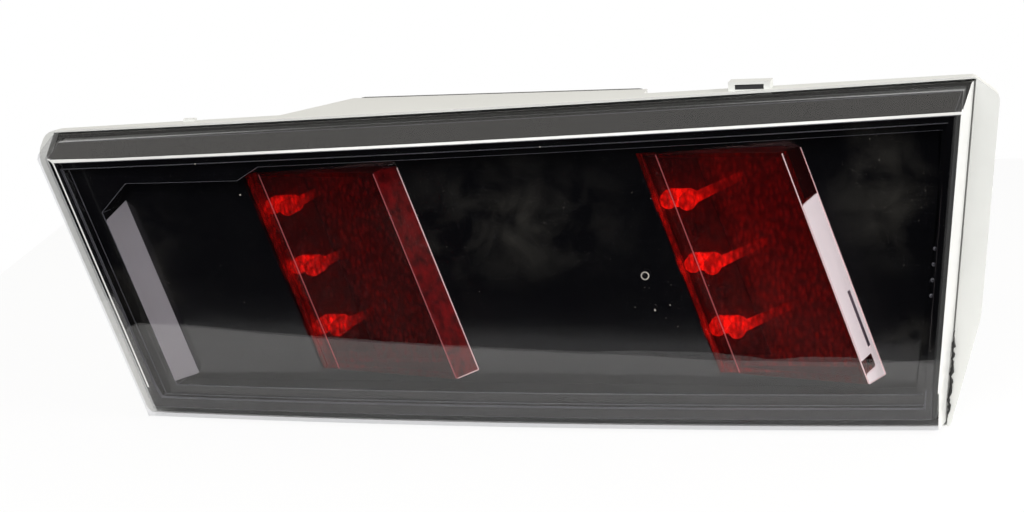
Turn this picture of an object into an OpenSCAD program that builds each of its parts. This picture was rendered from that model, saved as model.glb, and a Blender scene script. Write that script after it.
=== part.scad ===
// Rear lamp for the left-hand side of a car body.
// X runs towards the middle of the car, Y runs into the car and Z is up.
// The origin is the middle of the four studs, on the face that meets the body panel.

/* [Front face] */
// Height of the front face at the frame's middle
face_h = 138.4; // [132:0.2:144]
// Where the bottom edge starts at the outboard end, from the frame's middle
face_left = 181; // [172:1:190]
// Where the bottom edge ends at the inboard end, from the frame's middle
face_right = 208; // [200:1:216]
// Rise of the top edge towards the inboard end, in degrees
top_slope = 1.65; // [1:0.05:2.2]
// Lean of the outboard end, in degrees
left_lean = 20; // [18:0.5:22]
// Lean of the inboard end, in degrees
right_lean = 4.8; // [3:0.2:6]
// Radius of the front face seen from above
face_r = 2700; // [2200:50:4000]
// Where the front face comes nearest to the viewer
face_mid_x = 10; // [0:1:20]

/* [Outer lens] */
// Wall of the outer lens
lens_wall = 3; // [2.4:0.1:3.4]
// Depth of the sloping strip along the top
strip_d = 12; // [10:0.5:14]
// Height of the sloping strip along the top
strip_h = 11.5; // [10:0.5:13]
// Radius of the edge between the front face and the strip
edge_r = 4; // [3.5:0.25:5]
// Height of the bevel along the bottom
bevel_h = 17.5; // [14:0.5:19]
// Width of the bevel along the outboard end
bevel_w = 8.3; // [7:0.1:10]
// Depth of both bevels
bevel_d = 4; // [3:0.25:5]
// How far the inboard end wall flares out
flare_w = 4.2; // [3:0.2:5]
// Depth at which the outer lens ends
lens_back = 29; // [28:0.5:30]
// Lean of the cut at the top outboard corner, in degrees
corner_lean = 27; // [24:1:30]

/* [Housing] */
// Wall of the housing
housing_wall = 2.5; // [2:0.1:3]
// Gap between the outer lens and the groove that holds it
groove_gap = 0.8; // [0.5:0.1:1]
// Thickness of the sealing bead
seal_t = 1.6; // [1:0.1:2]
// Depth at which the skirt around the outer lens starts
skirt_d = 15; // [14:0.5:17]
// How far the skirt stands out at the outboard end
skirt_left = 5.5; // [4.5:0.5:7]
// How far the skirt stands out at the inboard end
skirt_right = 11.5; // [9:0.5:13]
// How far the skirt stands out along the top
skirt_top = 1.8; // [1.4:0.2:3]
// Depth at which the main shell ends
shell_back = 61; // [60:0.5:63]
// Depth of the face that meets the body panel
mount_d = 70; // [68:0.5:72]
// Depth at which the rear box ends
box_back = 96; // [92:1:104]
// Outboard end of the rear box
box_left = 88; // [84:1:92]
// Inboard end of the rear box
box_right = 68; // [64:1:74]
// How far the top of the rear box lies above the front face
box_rise = 10.2; // [8:0.2:11]
// Height of the underside of the rear box
box_bottom = 42; // [38:1:46]

/* [Studs] */
// Spacing of the studs along the lamp
stud_dx = 280; // [276:1:290]
// Spacing of the studs up the lamp
stud_dz = 76; // [70:1:80]
// Where the middle of the studs lies, from the frame's middle
stud_mid_x = 20; // [16:1:24]
// Height of the middle of the studs
stud_mid_z = 70; // [66:1:74]
// Radius of a stud
stud_r = 3; // [2.5:0.5:4]
// Length of a stud beyond the face that meets the body panel
stud_len = 24; // [18:1:32]

/* [Light bars] */
// Lean of the light bars, in degrees
bar_lean = 18.8; // [17:0.2:20]
// Ridge of the middle bar, from the frame's middle
mid_ridge = -33; // [-38:1:-28]
// Distance from the inboard bar's ridge to the inboard end of the bottom edge
inboard_margin = 46; // [42:1:50]
// Width of the middle bar's ramp
mid_ramp = 62; // [58:1:66]
// Width of the inboard bar's ramp
inboard_ramp = 57; // [54:1:60]
// Width of the lip beside each ramp
bar_lip = 9; // [8:0.5:10]
// Depth of the ridges
ridge_d = 12; // [11.5:0.5:14]
// Wall of a red bar lens
bar_wall = 2.4; // [2:0.2:2.8]
// Height at which the bars start
bar_low = 21; // [20:0.5:24]
// Distance from the top edge down to the bars
bar_drop = 14; // [13:0.5:16]
// Distance between the light sources in a bar, as a share of the bar's height
led_share = 0.3; // [0.27:0.005:0.32]

/* [Hidden] */

// Clearances and small standard sizes
slip = 0.3;
hole_gap = 0.15;
far = 400;
turn = 12;
smooth = 720;
arc_steps = 13;
arc_step = 20;
round_fn = 48;

// Internal depths, measured from the front face
bezel_gap = 1;
bezel_wall = 2;
bezel_step_d = 11;
bezel_end = 23.5;
tub_front = 24;
panel_d = 28;
panel_t = 2.5;
panel_back = panel_d + panel_t;
crease_d = 27;
flange_t = 2.5;
box_front = panel_back + flange_t;
board_front = 46;
board_t = 1.6;
tray_wall = 2;
tray_back = 54;
groove_floor = lens_back + seal_t;
skirt_t = 3.4;
skirt_back = groove_floor + skirt_t;
tub_gap = lens_wall + groove_gap;
tub_inside = tub_gap + housing_wall;
shell_inside = shell_back - housing_wall;

// Places inside, seen from the front: distances in from the lamp's outline at its left, right, top and bottom
step_in = [10.5, 10, 16.5, 9.5];
opening_in = [19, 12, 20.5, 15];
panel_margin = 7.5;
brow_z = face_h - 19.9;
brow_cut = 14.5;

// Places and sizes of the small pieces
boss_r = 11;
stud_head_r = 8;
stud_head_t = 2;
stud_neck_r = stud_r + 0.8;
screw_r = 1.5;
screw_head_r = 2.9;
screw_head_t = 1.8;
screw_grip = 7;
post_r = 3.2;
bar_h = face_h - bar_drop - bar_low;
led_pitch = bar_h * led_share;
led_mid_z = bar_low + bar_h / 2 - 1.2;
led_side = 3.4;
led_t = 1.4;
led_gap = 0.5;
led_room = led_side + 2 * led_gap;
lobe_r = 4.2;
lobe_gap = 4.8;
lobe_tips = [38.5, 34];
lobe_base = 3;
fan_d = 34.4;
fan_t = 1.2;
fan_len = 26;
fan_rise = 10;
fan_w = [6, 4];
lead_r = 1.6;
vent_r = 4;
blade_foot = 6.5;
blade_wall = 1.4;
boss_small_r = 5;
cover_t = 2.6;
cover_seal_t = 1.5;
box_wall = 2.5;
box_top = face_h + box_rise;
socket_x = 36;
socket_up = 42;
socket_z = box_bottom + socket_up;
socket_front = box_back + cover_seal_t;
socket_flange_t = 1.5;
socket_w = 36;
socket_h = 20;
socket_len = 22;
socket_wall = 2;
pin_count = 6;
clip_x = 127.5;
clip_w = 13;
clip_h = 2.3;
loop_wall = 1.2;
loop_side = 3;
loop_len = 12;
// Tab on the skirt's top edge
tab_x = -155;
tab_w = 6;
tab_h = 1.4;
// Locating pin on the skirt's back
locator_z = 105;
locator_r = 4;
locator_len = 20;
locator_tip = 5;
locator_in = 2.5;
// Stiffening ribs on the back
rib_t = 2;
rib_h = 5;
// Pips on the bezel's inboard edge
pip_low = 61;
pip_pitch = 7.2;
pip_r = 0.6;
// Where the skirt's inboard edge turns in, below its top and above the bottom
skirt_drop = 9;
skirt_turn = 50;
// The step in the bezel's opening over the outboard blade
brow_w = 15;
brow_x = -122;
brow_ramp = 12;
// How much narrower the rear box is at its back than at the skirt, at its outboard and inboard sides
box_draft_l = 17;
box_draft_r = 4;
cover_screw_in = 7;
cover_r = 5;
// Where the inner leads reach the control board, and where the inboard one turns
mid_lead_end = [-50, 80];
inboard_lead_end = [34, 76];
inboard_lead_turn = 60;
// Latch on top of the socket
latch_w = 8;
latch_len = 6;
latch_at = 10;
latch_h = 2;
inboard_ridge = face_right - inboard_margin;
outboard_ridge = -183;
// Where the outboard blade's top is cut, at its ridge, and how steeply
outboard_top = brow_z - 17.5;
outboard_cut = 62;
// Where the inboard blade stops and the red lens goes on, at its ridge, and how steeply
border_z = face_h - 34.4;
border_tilt = 29;
// Red window near the inboard blade's lower end: where it starts along the bar, its height and its width
window_at = -47;
window_h = 6;
window_w = 4;
// Slot in the inboard blade: where it starts along the bar, its length, its place across and its width
slot_at = -38;
slot_len = 28;
slot_across = 3.8;
slot_w = 1.3;
// Control board, carried behind the cover
board_post = 15.9;
board_d = socket_front - board_post - board_t;
board_inset = [22, 24];
board_hole_in = 5;
board_edge = 15.8;
board_x0 = -box_left + board_inset[0];
board_w = box_left + box_right - board_inset[0] - board_inset[1];
board_z0 = box_bottom + box_wall + board_edge;
board_h = box_top - box_bottom - 2 * (box_wall + board_edge);
// Chips, capacitors and a coil on the control board, from its lower outboard corner
chip_pitch = 16;
chip_side = 10;
chip_t = 2;
chip_z = 40;
can_at = [22, 36];
can_z = 20;
can_r = 4;
coil_at = [50, 12];
coil_side = 12;
coil_t = 4.5;
lead_d = (tray_back + board_d) / 2;
inner_d = (tray_back + shell_inside) / 2;
// Rows of screws along the bottom and the top, as distances in from the lamp's outline
panel_row_low = (tub_inside + opening_in[3] - bezel_wall) / 2;
panel_row_high = (tub_inside + opening_in[2] - bezel_wall) / 2;
bezel_row_low = opening_in[3] - 4;
bezel_row_high = opening_in[2] - 7;
// Distance from a bar's ends to its light box's ears
ear_end = 14;
// How far the foam gasket reaches beyond the rear box at its ends and below it, and its height
gasket_w = [14, 9];
gasket_h = 78;

// Moves the lamp from its own front frame to the stud frame
module placed() translate([-stud_mid_x, -mount_d, -stud_mid_z]) children();
// Extrudes an outline drawn in X and Z between two depths
module along_y(y0, y1) translate([0, y1, 0]) rotate([90, 0, 0]) linear_extrude(y1 - y0) children();
// A round bar along Y between two depths
module rod(x, z, y0, y1, r) translate([x, y0, z]) rotate([-90, 0, 0]) cylinder(r = r, h = y1 - y0, $fn = round_fn);

// Height of the top front edge at a place along the lamp
function top_z(x) = face_h + x * tan(top_slope);
// Place of the outboard edge at a height
function left_x(z) = -face_left - z * tan(left_lean);
// Place of the inboard edge at a height
function right_x(z) = face_right + z * tan(right_lean);
// How far the front face has curved away at a place along the lamp
function sag(x) = pow(x - face_mid_x, 2) / (2 * face_r);
function unit(v) = v / norm(v);
// The normal on the right of a direction of travel
function right_of(u) = [u.y, -u.x];
// A corner between travel u and travel v, moved t to the right
function corner(p, u, v, t) = p + t * (right_of(u) + right_of(v)) / (1 + right_of(u) * right_of(v));
// An outline moved t to the right of its travel
function inset(pts, t) = [for (i = [0:len(pts) - 1])
    let (n = len(pts), p = pts[i])
    corner(p, unit(p - pts[(i + n - 1) % n]), unit(pts[(i + 1) % n] - p), t)];
// Where two lines meet, each given by a point and a direction
function meet(p, u, q, v) = p + u * ((q.x - p.x) * v.y - (q.y - p.y) * v.x) / (u.x * v.y - u.y * v.x);
// An outline's corners rounded, each by its own radius
function rounded(pts, radii, steps = 5) = [for (i = [0:len(pts) - 1])
    let (n = len(pts), p = pts[i], a = unit(pts[(i + n - 1) % n] - p), b = unit(pts[(i + 1) % n] - p),
        half = acos(a * b) / 2, r = radii[i])
    each r == 0 ? [p] :
        let (c = p + unit(a + b) * r / sin(half), p1 = p + a * r / tan(half) - c, p2 = p + b * r / tan(half) - c,
            t1 = atan2(p1.y, p1.x), t2 = atan2(p2.y, p2.x), sweep = (t2 - t1 + 540) % 360 - 180)
        [for (k = [0:steps]) c + r * [cos(t1 + sweep * k / steps), sin(t1 + sweep * k / steps)]]];

chamfer_a = atan2(strip_h, strip_d);
bevel_a = atan2(bevel_d, bevel_w);
up_left = [-sin(left_lean), cos(left_lean)];
up_corner = [sin(corner_lean), cos(corner_lean)];
up_right = [sin(right_lean), cos(right_lean)];
along_top = [cos(top_slope), sin(top_slope)];
corner_z = top_z(left_x(face_h)) + 0.5;

// The lamp's outline behind the front, moved in at its left, right, top and bottom
function outline(l, r, t, b) =
    let (pl = [left_x(0), 0] + l * right_of(up_left),
        pc = [left_x(corner_z), corner_z] + min(l, t) * right_of(up_corner),
        pt = [0, top_z(0) + strip_h / cos(top_slope)] + t * right_of(along_top),
        pr = [right_x(0), 0] + (flare_w - r) * right_of(up_right),
        pb = [0, b], flat = [1, 0], shoulder = meet(pl, up_left, pc, up_corner),
        peak = meet(pl, up_left, pt, along_top))
    concat([meet(pb, flat, pl, up_left)],
        peak.y > shoulder.y ? [shoulder, meet(pc, up_corner, pt, along_top)] : [peak],
        [meet(pt, along_top, pr, up_right), meet(pr, up_right, pb, flat)]);
// The last two corners of an outline, at the inboard end's top and bottom
function top_right(o) = o[len(o) - 2];
function bottom_right(o) = o[len(o) - 1];
function outline_by(v, extra = 0) = outline(v[0] + extra, v[1] + extra, v[2] + extra, v[3] + extra);

// Section of the front, its round edge, the strip and the top wall, moved inward by t
function nose_section(t) =
    let (up = [0, 1], slant = [cos(chamfer_a), sin(chamfer_a)], back = [1, 0],
        c = corner([0, 0], up, slant, edge_r), r = edge_r - t, b = corner([strip_d, strip_h], slant, back, t))
    concat([[t, -far]],
        r > 0.3 ? [for (k = [0:5]) let (a = 180 + (chamfer_a - 90) * k / 5) c + r * [cos(a), sin(a)]]
            : [corner([0, 0], up, slant, t)],
        [b, [far / 2, b.y], [far / 2, -far]]);
// A section of depth and height swept round the front face's centre
module swept(z0, slope) translate([face_mid_x, face_r, z0]) rotate([0, -slope, 0])
    rotate_extrude(angle = turn, start = 270 - turn / 2, $fn = smooth)
        mirror([1, 0]) translate([-face_r, 0]) children();
module nose(t) swept(top_z(face_mid_x), top_slope) polygon(nose_section(t));
// What lies between a depth measured from the curved front and a flat depth
function front_curve(d) = [for (k = [-arc_steps:arc_steps]) let (x = face_mid_x + k * arc_step) [x, d + sag(x)]];
module behind(d, y1) translate([0, 0, -far / 2]) linear_extrude(far)
    polygon(concat(front_curve(d), [[far, y1], [-far, y1]]));
// What lies between two depths measured from the curved front
module layer(d0, d1) translate([0, 0, -far / 2]) linear_extrude(far)
    polygon(concat(front_curve(d0), [for (k = [2 * arc_steps:-1:0]) front_curve(d1)[k]]));
// The bottom bevel and wall, moved inward by t
module keel(t) {
    fall = unit([bevel_d, -bevel_h]);
    c = corner([bevel_d, 0], fall, [1, 0], -t);
    top = c - fall * 4 * bevel_h;
    swept(0, 0) polygon([c, [far / 2, c.y], [far / 2, far], [top.x, far], top]);
}
// The outboard end wall with its bevel, moved inward by t
module left_end(t) {
    top = face_h - bevel_h;
    back = bevel_d + sag(left_x(0));
    tilt = atan2(sag(left_x(top)) - sag(left_x(0)), top);
    c = [t, t * (1 / cos(bevel_a) - tan(bevel_a))];
    translate([left_x(0), back, 0]) rotate([-tilt, -left_lean, 0]) translate([0, 0, -far / 2]) linear_extrude(far)
        polygon([c, c + 60 * [cos(bevel_a), -sin(bevel_a)], [far * 2, -60], [far * 2, far], [t, far]]);
}
// The inboard end wall with its flare, moved inward by t
module right_end(t) {
    y_front = sag(right_x(face_h));
    a = atan2(flare_w, tub_front - y_front);
    c = [flare_w - t, tub_front + t * tan(a / 2)];
    translate([right_x(0), 0, 0]) rotate([0, right_lean, 0]) translate([0, 0, -far / 2]) linear_extrude(far)
        polygon([c - 60 * [sin(a), cos(a)], c, [c.x, far], [-far * 2, far], [-far * 2, c.y - 60 * cos(a)]]);
}
// The cut across the top outboard corner, moved inward by t
module corner_cut(t) translate([left_x(corner_z), 0, corner_z]) rotate([0, corner_lean, 0])
    translate([t, -far / 2, -far]) cube(far * 2);
// The outer lens's outside form, moved inward by t and ending at a depth
module lens_form(t, back) intersection() {
    nose(t);
    keel(t);
    left_end(t);
    right_end(t);
    corner_cut(t);
    translate([-far, -50, -50]) cube([2 * far, back + 50, far]);
}

// Moves a section of width and depth along a bar's lean, with the bar's ridge at a place along the lamp
module along_bar(ridge) translate([ridge, 0, stud_mid_z]) rotate([0, -bar_lean, 0])
    translate([0, 0, -far / 4]) linear_extrude(far / 2) children();
// Keeps what lies between the bars' lower and upper ends, moved out by e
module bar_ends(e) intersection() {
    children();
    along_y(0, far / 2) polygon([[-far, bar_low - e], [-far, top_z(-far) - bar_drop + e],
        [far, top_z(far) - bar_drop + e], [far, bar_low - e]]);
}
// Place along the lamp of a point beside a ridge, at a height
function bar_x(ridge, across, z) = ridge + (across - (z - stud_mid_z) * sin(bar_lean)) / cos(bar_lean);
bars = [[mid_ridge, mid_ramp], [inboard_ridge, inboard_ramp]];
led_heights = [for (k = [-1:1]) led_mid_z + k * led_pitch];

// Screw with a round head, its head's underside at a depth and its shank towards a depth
module screw(x, z, seat, tip) {
    out = seat < tip ? -1 : 1;
    rod(x, z, min(seat, seat + out * screw_head_t), max(seat, seat + out * screw_head_t), screw_head_r);
    rod(x, z, min(seat, tip), max(seat, tip), screw_r);
}

module outer_lens() color([0.75, 0.75, 0.78, 0.35]) placed() difference() {
    lens_form(0, lens_back);
    lens_form(lens_wall, lens_back + 1);
}
module lens_seal() color("black") placed() difference() {
    along_y(lens_back, groove_floor) polygon(outline(0, 0, 0, 0));
    along_y(lens_back - 1, groove_floor + 1) polygon(outline(lens_wall, lens_wall, lens_wall, lens_wall));
}

// Outline of the skirt around the outer lens, which dies away at the bottom inboard corner
function skirt_outline() =
    let (o = outline(-skirt_left, -skirt_right, -skirt_top, -2), low = bottom_right(outline(0, -2, 0, -2)),
        r = top_right(outline(0, 0, -skirt_top, 0)), q = top_right(o), drop = tan(right_lean))
    [o[0], o[1], o[2], r, [q.x - skirt_drop * drop, q.y - skirt_drop],
        [q.x - (q.y - skirt_turn) * drop, skirt_turn], low];
skirt_radii = [6, 12, 9, 4, 5, 50, 3];

stud_places = [for (i = [-1, 1], k = [-1, 1]) [stud_mid_x + i * stud_dx / 2, stud_mid_z + k * stud_dz / 2]];
// Posts that carry the back panel, and places of the screws that hold the bezel to it
function high_row(x, row) = [x, top_z(x) + strip_h / cos(top_slope) - row];
post_places = concat([for (x = [-140, -10, 130]) [x, panel_row_low]],
    [for (x = [-150, 95, 180]) high_row(x, panel_row_high)]);
bezel_screw_places = concat([for (x = [-75, 60, 195]) [x, bezel_row_low]],
    [for (x = [-80, 20]) high_row(x, bezel_row_high)]);
vent_places = [[-155, 75], [185, 62]];

// Outline of the rear box seen from above, longer than the box at both ends, moved inward by t
function box_plan(t) = let (near = 2 * skirt_back - box_back, rear = 2 * box_back - skirt_back)
    inset([[-box_left - 2 * box_draft_l, near], [-box_left + box_draft_l, rear],
        [box_right - box_draft_r, rear], [box_right + 2 * box_draft_r, near]], t);
module rear_box(t, y0, y1) intersection() {
    translate([0, 0, box_bottom + t]) linear_extrude(box_top - box_bottom - 2 * t) polygon(box_plan(t));
    translate([-far, y0, -far]) cube([2 * far, y1 - y0, 3 * far]);
}
cover_places = [for (x = [-box_left + cover_screw_in, box_right - cover_screw_in],
    z = [box_bottom + cover_screw_in, box_top - cover_screw_in]) [x, z]];

// Distances in from the lamp's outline, the same on every side
function even(t) = [t, t, t, t];
module housing() color([0.88, 0.88, 0.87]) placed() difference() {
    union() {
        difference() {
            intersection() {
                along_y(0, skirt_back) polygon(rounded(skirt_outline(), skirt_radii));
                behind(skirt_d, far);
            }
            lens_form(-groove_gap, groove_floor);
            along_y(0, skirt_back + 1) polygon(outline_by(even(tub_gap + 1)));
        }
        difference() {
            union() {
                along_y(tub_front, shell_back) polygon(outline_by(even(tub_gap)));
                rear_box(0, skirt_back, box_back);
            }
            along_y(tub_front - 1, shell_inside) polygon(outline_by(even(tub_inside)));
            rear_box(box_wall, skirt_back + box_wall, box_back + 1);
        }
        for (p = cover_places) rod(p.x, p.y, box_back - 14, box_back, boss_small_r);
        for (p = stud_places) rod(p.x, p.y, shell_inside, mount_d, boss_r);
        for (p = post_places) rod(p.x, p.y, panel_back, shell_back - 1, post_r);
        locating_loop();
        back_ribs();
        translate([tab_x, skirt_back - skirt_t, skirt_top_z(tab_x)]) cube([tab_w, skirt_t, tab_h]);
    }
    for (p = stud_places) rod(p.x, p.y, shell_inside - 1, mount_d + 1, stud_neck_r + hole_gap);
    for (p = post_places) rod(p.x, p.y, panel_back - 1, panel_back + screw_grip + 1, screw_r + hole_gap);
    for (p = cover_places) rod(p.x, p.y, box_back - 10, box_back + 1, screw_r + hole_gap);
    for (p = vent_places) rod(p.x, p.y, shell_inside - 1, shell_back + 1, vent_r + hole_gap);
}
// Height of the skirt's top edge at a place along the lamp
function skirt_top_z(x) = let (o = outline(0, 0, -skirt_top, 0)[2]) o.y + (x - o.x) * tan(top_slope);
// Stiffening ribs on the back, from each stud's boss to the lamp's end and between the bosses
module back_ribs() intersection() {
    along_y(shell_back - 1, shell_back + rib_h) polygon(outline_by(even(tub_gap + 1)));
    union() {
        for (p = stud_places)
            translate([p.x < stud_mid_x ? p.x - far : p.x, shell_inside, p.y - rib_t / 2])
                cube([far, mount_d, rib_t]);
        for (i = [-1, 1])
            translate([stud_mid_x + i * stud_dx / 2 - rib_t / 2, shell_inside, stud_mid_z - stud_dz / 2])
                cube([rib_t, mount_d, stud_dz]);
    }
}
// Loop on the skirt's top edge that takes the locating clip
module locating_loop() {
    z = skirt_top_z(clip_x) - slip;
    difference() {
        along_y(skirt_back - loop_len, skirt_back) translate([clip_x - clip_w / 2 - loop_side, z - loop_wall])
            square([clip_w + 2 * loop_side, clip_h + 2 * loop_wall + 2 * slip]);
        along_y(skirt_back - loop_len - 1, skirt_back + 1) translate([clip_x - clip_w / 2, z + 2 * slip])
            square([clip_w, clip_h]);
    }
}
module locating_clip() color([0.1, 0.1, 0.1]) placed() along_y(skirt_back - loop_len + 1, skirt_back - 1)
    translate([clip_x - clip_w / 2, skirt_top_z(clip_x) + slip]) square([clip_w, clip_h]);

// The opening in the bezel, which steps down over the outboard blade
function opening_outline(e = 0) =
    let (o = outline_by(opening_in, e), z1 = brow_z - brow_cut,
        x1 = left_x(z1) + opening_in[0] / cos(left_lean) + e, x2 = brow_x + brow_ramp)
    [o[0], [x1, z1], [x1 + brow_w, brow_z - e], [brow_x + e, brow_z + 1 - e],
        [x2 + e, top_z(x2) + strip_h - opening_in[2] - e], top_right(o), bottom_right(o)];
module bezel() color([0.06, 0.06, 0.07]) placed() difference() {
    union() {
        difference() {
            lens_form(lens_wall + bezel_gap, bezel_end);
            lens_form(lens_wall + bezel_gap + bezel_wall, bezel_end + 1);
            along_y(-5, 60) polygon(outline_by(step_in));
        }
        intersection() {
            along_y(0, bezel_end) difference() {
                polygon(outline_by(step_in, -bezel_wall + 0.3));
                polygon(outline_by(step_in, 0.3));
            }
            lens_form(lens_wall + bezel_gap + bezel_wall / 2, bezel_end - 1);
            layer(0, bezel_step_d + bezel_wall - 0.4);
        }
        intersection() {
            along_y(0, bezel_end) difference() {
                polygon(outline_by(step_in, -0.5));
                polygon(opening_outline());
            }
            layer(bezel_step_d, bezel_step_d + bezel_wall);
        }
        intersection() {
            along_y(0, panel_d) difference() {
                polygon(opening_outline(-bezel_wall));
                polygon(opening_outline());
            }
            behind(bezel_step_d + bezel_wall / 2, far);
        }
        for (p = bezel_screw_places) intersection() {
            rod(p.x, p.y, 0, panel_d, post_r);
            behind(bezel_step_d + bezel_wall / 2, far);
        }
        bezel_pips();
    }
    for (p = bezel_screw_places) rod(p.x, p.y, panel_d - screw_grip, panel_d + 1, screw_r + hole_gap);
}

// Row of small pips beside the opening's inboard edge
module bezel_pips() for (k = [0:3]) {
    z = pip_low + k * pip_pitch;
    x = right_x(z) + flare_w - (step_in[1] + opening_in[1]) / 2;
    rod(x, z, bezel_step_d + sag(x) - pip_r, bezel_step_d + sag(x) + bezel_wall / 2, pip_r);
}

// A bar's room in the panel, moved out by e, without its ends
module bar_room(ridge, ramp, e) along_bar(ridge)
    translate([-ramp - bar_lip - e, 0]) square([ramp + bar_lip + 2 * e, far / 2]);
module back_panel() color([0.05, 0.05, 0.06]) placed() difference() {
    union() {
        along_y(panel_d, panel_back) polygon(outline(opening_in[0] - panel_margin, tub_inside + 0.5,
            opening_in[2] - panel_margin, tub_inside + 0.5));
        for (b = bars, e = ear_places(b[0], b[1])) rod(e.x, e.y, panel_back, box_front, post_r);
    }
    for (b = bars, e = ear_places(b[0], b[1])) rod(e.x, e.y, panel_d + 1, box_front + 1, screw_r + hole_gap);
    bar_ends(slip) bar_room(mid_ridge, mid_ramp, slip);
    bar_ends(slip) bar_room(inboard_ridge, inboard_ramp, slip);
    for (p = concat(post_places, bezel_screw_places)) rod(p.x, p.y, panel_d - 1, panel_back + 1, screw_r + hole_gap);
}

// A hollow three-sided blade with its ridge at the front and its foot on the panel
module blade(ridge, e) {
    side = [[slip, panel_d], [slip, ridge_d], [blade_foot, panel_d]];
    bar_ends(e) along_bar(ridge) difference() {
        polygon(side);
        polygon(inset(side, -blade_wall));
    }
}
module outboard_blade() color([0.6, 0.59, 0.6]) placed() intersection() {
    blade(outboard_ridge, 3);
    translate([bar_x(outboard_ridge, 0, outboard_top), 0, outboard_top]) rotate([0, -outboard_cut, 0])
        translate([-far, -far / 2, -far]) cube([2 * far, far, far]);
}
module mid_blade() color([0.45, 0.03, 0.03]) placed() blade(mid_ridge, 0);
// What the red lens fills beside the inboard ridge: all above a border, and a window near the lower end
module blade_windows(e) {
    translate([bar_x(inboard_ridge, 0, border_z), 0, border_z - e]) rotate([0, -border_tilt, 0])
        translate([-2 * blade_foot, 0, 0]) cube([6 * blade_foot, panel_d, far]);
    translate([inboard_ridge, 0, stud_mid_z]) rotate([0, -bar_lean, 0])
        translate([-blade_foot, 0, window_at - e])
            cube([blade_foot + window_w + e, panel_d + 1, window_h + 2 * e]);
}
module inboard_blade() color([0.9, 0.85, 0.86]) placed() difference() {
    blade(inboard_ridge, 0);
    blade_windows(slip);
    translate([inboard_ridge, 0, stud_mid_z]) rotate([0, -bar_lean, 0])
        translate([slot_across, 0, slot_at]) cube([slot_w, panel_d - blade_wall, slot_len]);
}

// Section of a red bar lens, drawn from its lip to its ridge
function bar_section(ramp) = [[-ramp - bar_lip, box_front], [-ramp, crease_d], [0, ridge_d], [0, box_front]];
module bar_lens(ridge, ramp) {
    difference() {
        bar_ends(0) along_bar(ridge) polygon(bar_section(ramp));
        bar_ends(-bar_wall) along_bar(ridge) polygon(concat(
            [for (k = [1, 2]) inset(bar_section(ramp), -bar_wall)[k]],
            [[-bar_wall, box_front + 1], [-ramp - bar_lip + 2 * bar_wall, box_front + 1],
            [-ramp - bar_lip + 2 * bar_wall, box_front - 0.8]]));
    }
    difference() {
        bar_ends(3) along_bar(ridge)
            translate([-ramp - bar_lip - 3, panel_back]) square([ramp + bar_lip + 6, flange_t]);
        bar_ends(-bar_wall) bar_room(ridge, ramp, -bar_wall);
    }
}
module mid_bar_lens() color([0.6, 0.03, 0.03, 0.8]) placed() bar_lens(mid_ridge, mid_ramp);
module inboard_bar_lens() color([0.6, 0.03, 0.03, 0.8]) placed() {
    bar_lens(inboard_ridge, inboard_ramp);
    intersection() {
        bar_ends(0) along_bar(inboard_ridge) polygon([[-bar_wall / 2, panel_d - slip], [-bar_wall / 2, ridge_d + 1],
            [0, ridge_d], [blade_foot, panel_d - slip]]);
        blade_windows(0);
    }
}

// A pair of domed lobes on a base plate before each light source, and a fan that carries light up the ramp
module collimators(ridge, ramp) for (z = led_heights) {
    x = bar_x(ridge, -ramp, z);
    difference() {
        union() {
            for (i = [0, 1]) {
                lobe_x = x + (2 * i - 1) * lobe_gap;
                rod(lobe_x, z, lobe_tips[i], board_front - 1, lobe_r);
                translate([lobe_x, lobe_tips[i], z]) sphere(r = lobe_r, $fn = round_fn);
            }
            translate([x - lobe_gap, board_front - lobe_base, z - lobe_r])
                cube([2 * lobe_gap, lobe_base, 2 * lobe_r]);
            translate([x + lobe_gap, 0, z]) along_y(fan_d, fan_d + fan_t)
                polygon([[0, -fan_w[0] / 2], [0, fan_w[0] / 2], [fan_len, fan_rise + fan_w[1]], [fan_len, fan_rise]]);
        }
        for (side = [-lobe_gap, lobe_gap])
            translate([x + side - led_room / 2, board_front - led_t - led_gap, z - led_room / 2])
                cube([led_room, lobe_base, led_room]);
    }
}
module mid_collimators() color([0.8, 0.1, 0.08]) placed() collimators(mid_ridge, mid_ramp);
module inboard_collimators() color([0.8, 0.1, 0.08]) placed() collimators(inboard_ridge, inboard_ramp);

// Places across a tray, as distances from the ridge, for the board's posts
module each_board_post(ridge, ramp) for (z = [led_mid_z - led_pitch / 2, led_mid_z + led_pitch / 2])
    translate([bar_x(ridge, -ramp + 2, z), 0, z]) children();
module light_box(ridge, ramp) {
    difference() {
        union() {
            bar_ends(3) along_bar(ridge) translate([-ramp - bar_lip - 3, box_front])
                square([ramp + bar_lip + 6, tray_back - box_front]);
            for (e = ear_places(ridge, ramp)) rod(e.x, e.y, box_front, box_front + 3, post_r);
            for (e = ear_places(ridge, ramp, 2)) rod(e.x, e.y, box_front, box_front + 3, post_r);
        }
        bar_ends(3 - tray_wall) along_bar(ridge) translate([-ramp - bar_lip - 3 + tray_wall, box_front - 1])
            square([ramp + bar_lip + 6 - 2 * tray_wall, tray_back - box_front + 1 - tray_wall]);
        for (e = ear_places(ridge, ramp)) rod(e.x, e.y, box_front - 1, box_front + 4, screw_r + hole_gap);
        rod(bar_x(ridge, -ramp + 10, led_mid_z), led_mid_z, tray_back - tray_wall - 1, tray_back + 1, lead_r + 0.8);
    }
    each_board_post(ridge, ramp) difference() {
        rod(0, 0, board_front + board_t, tray_back - tray_wall, post_r);
        rod(0, 0, board_front, tray_back - tray_wall - 1, screw_r + hole_gap);
    }
}
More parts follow.
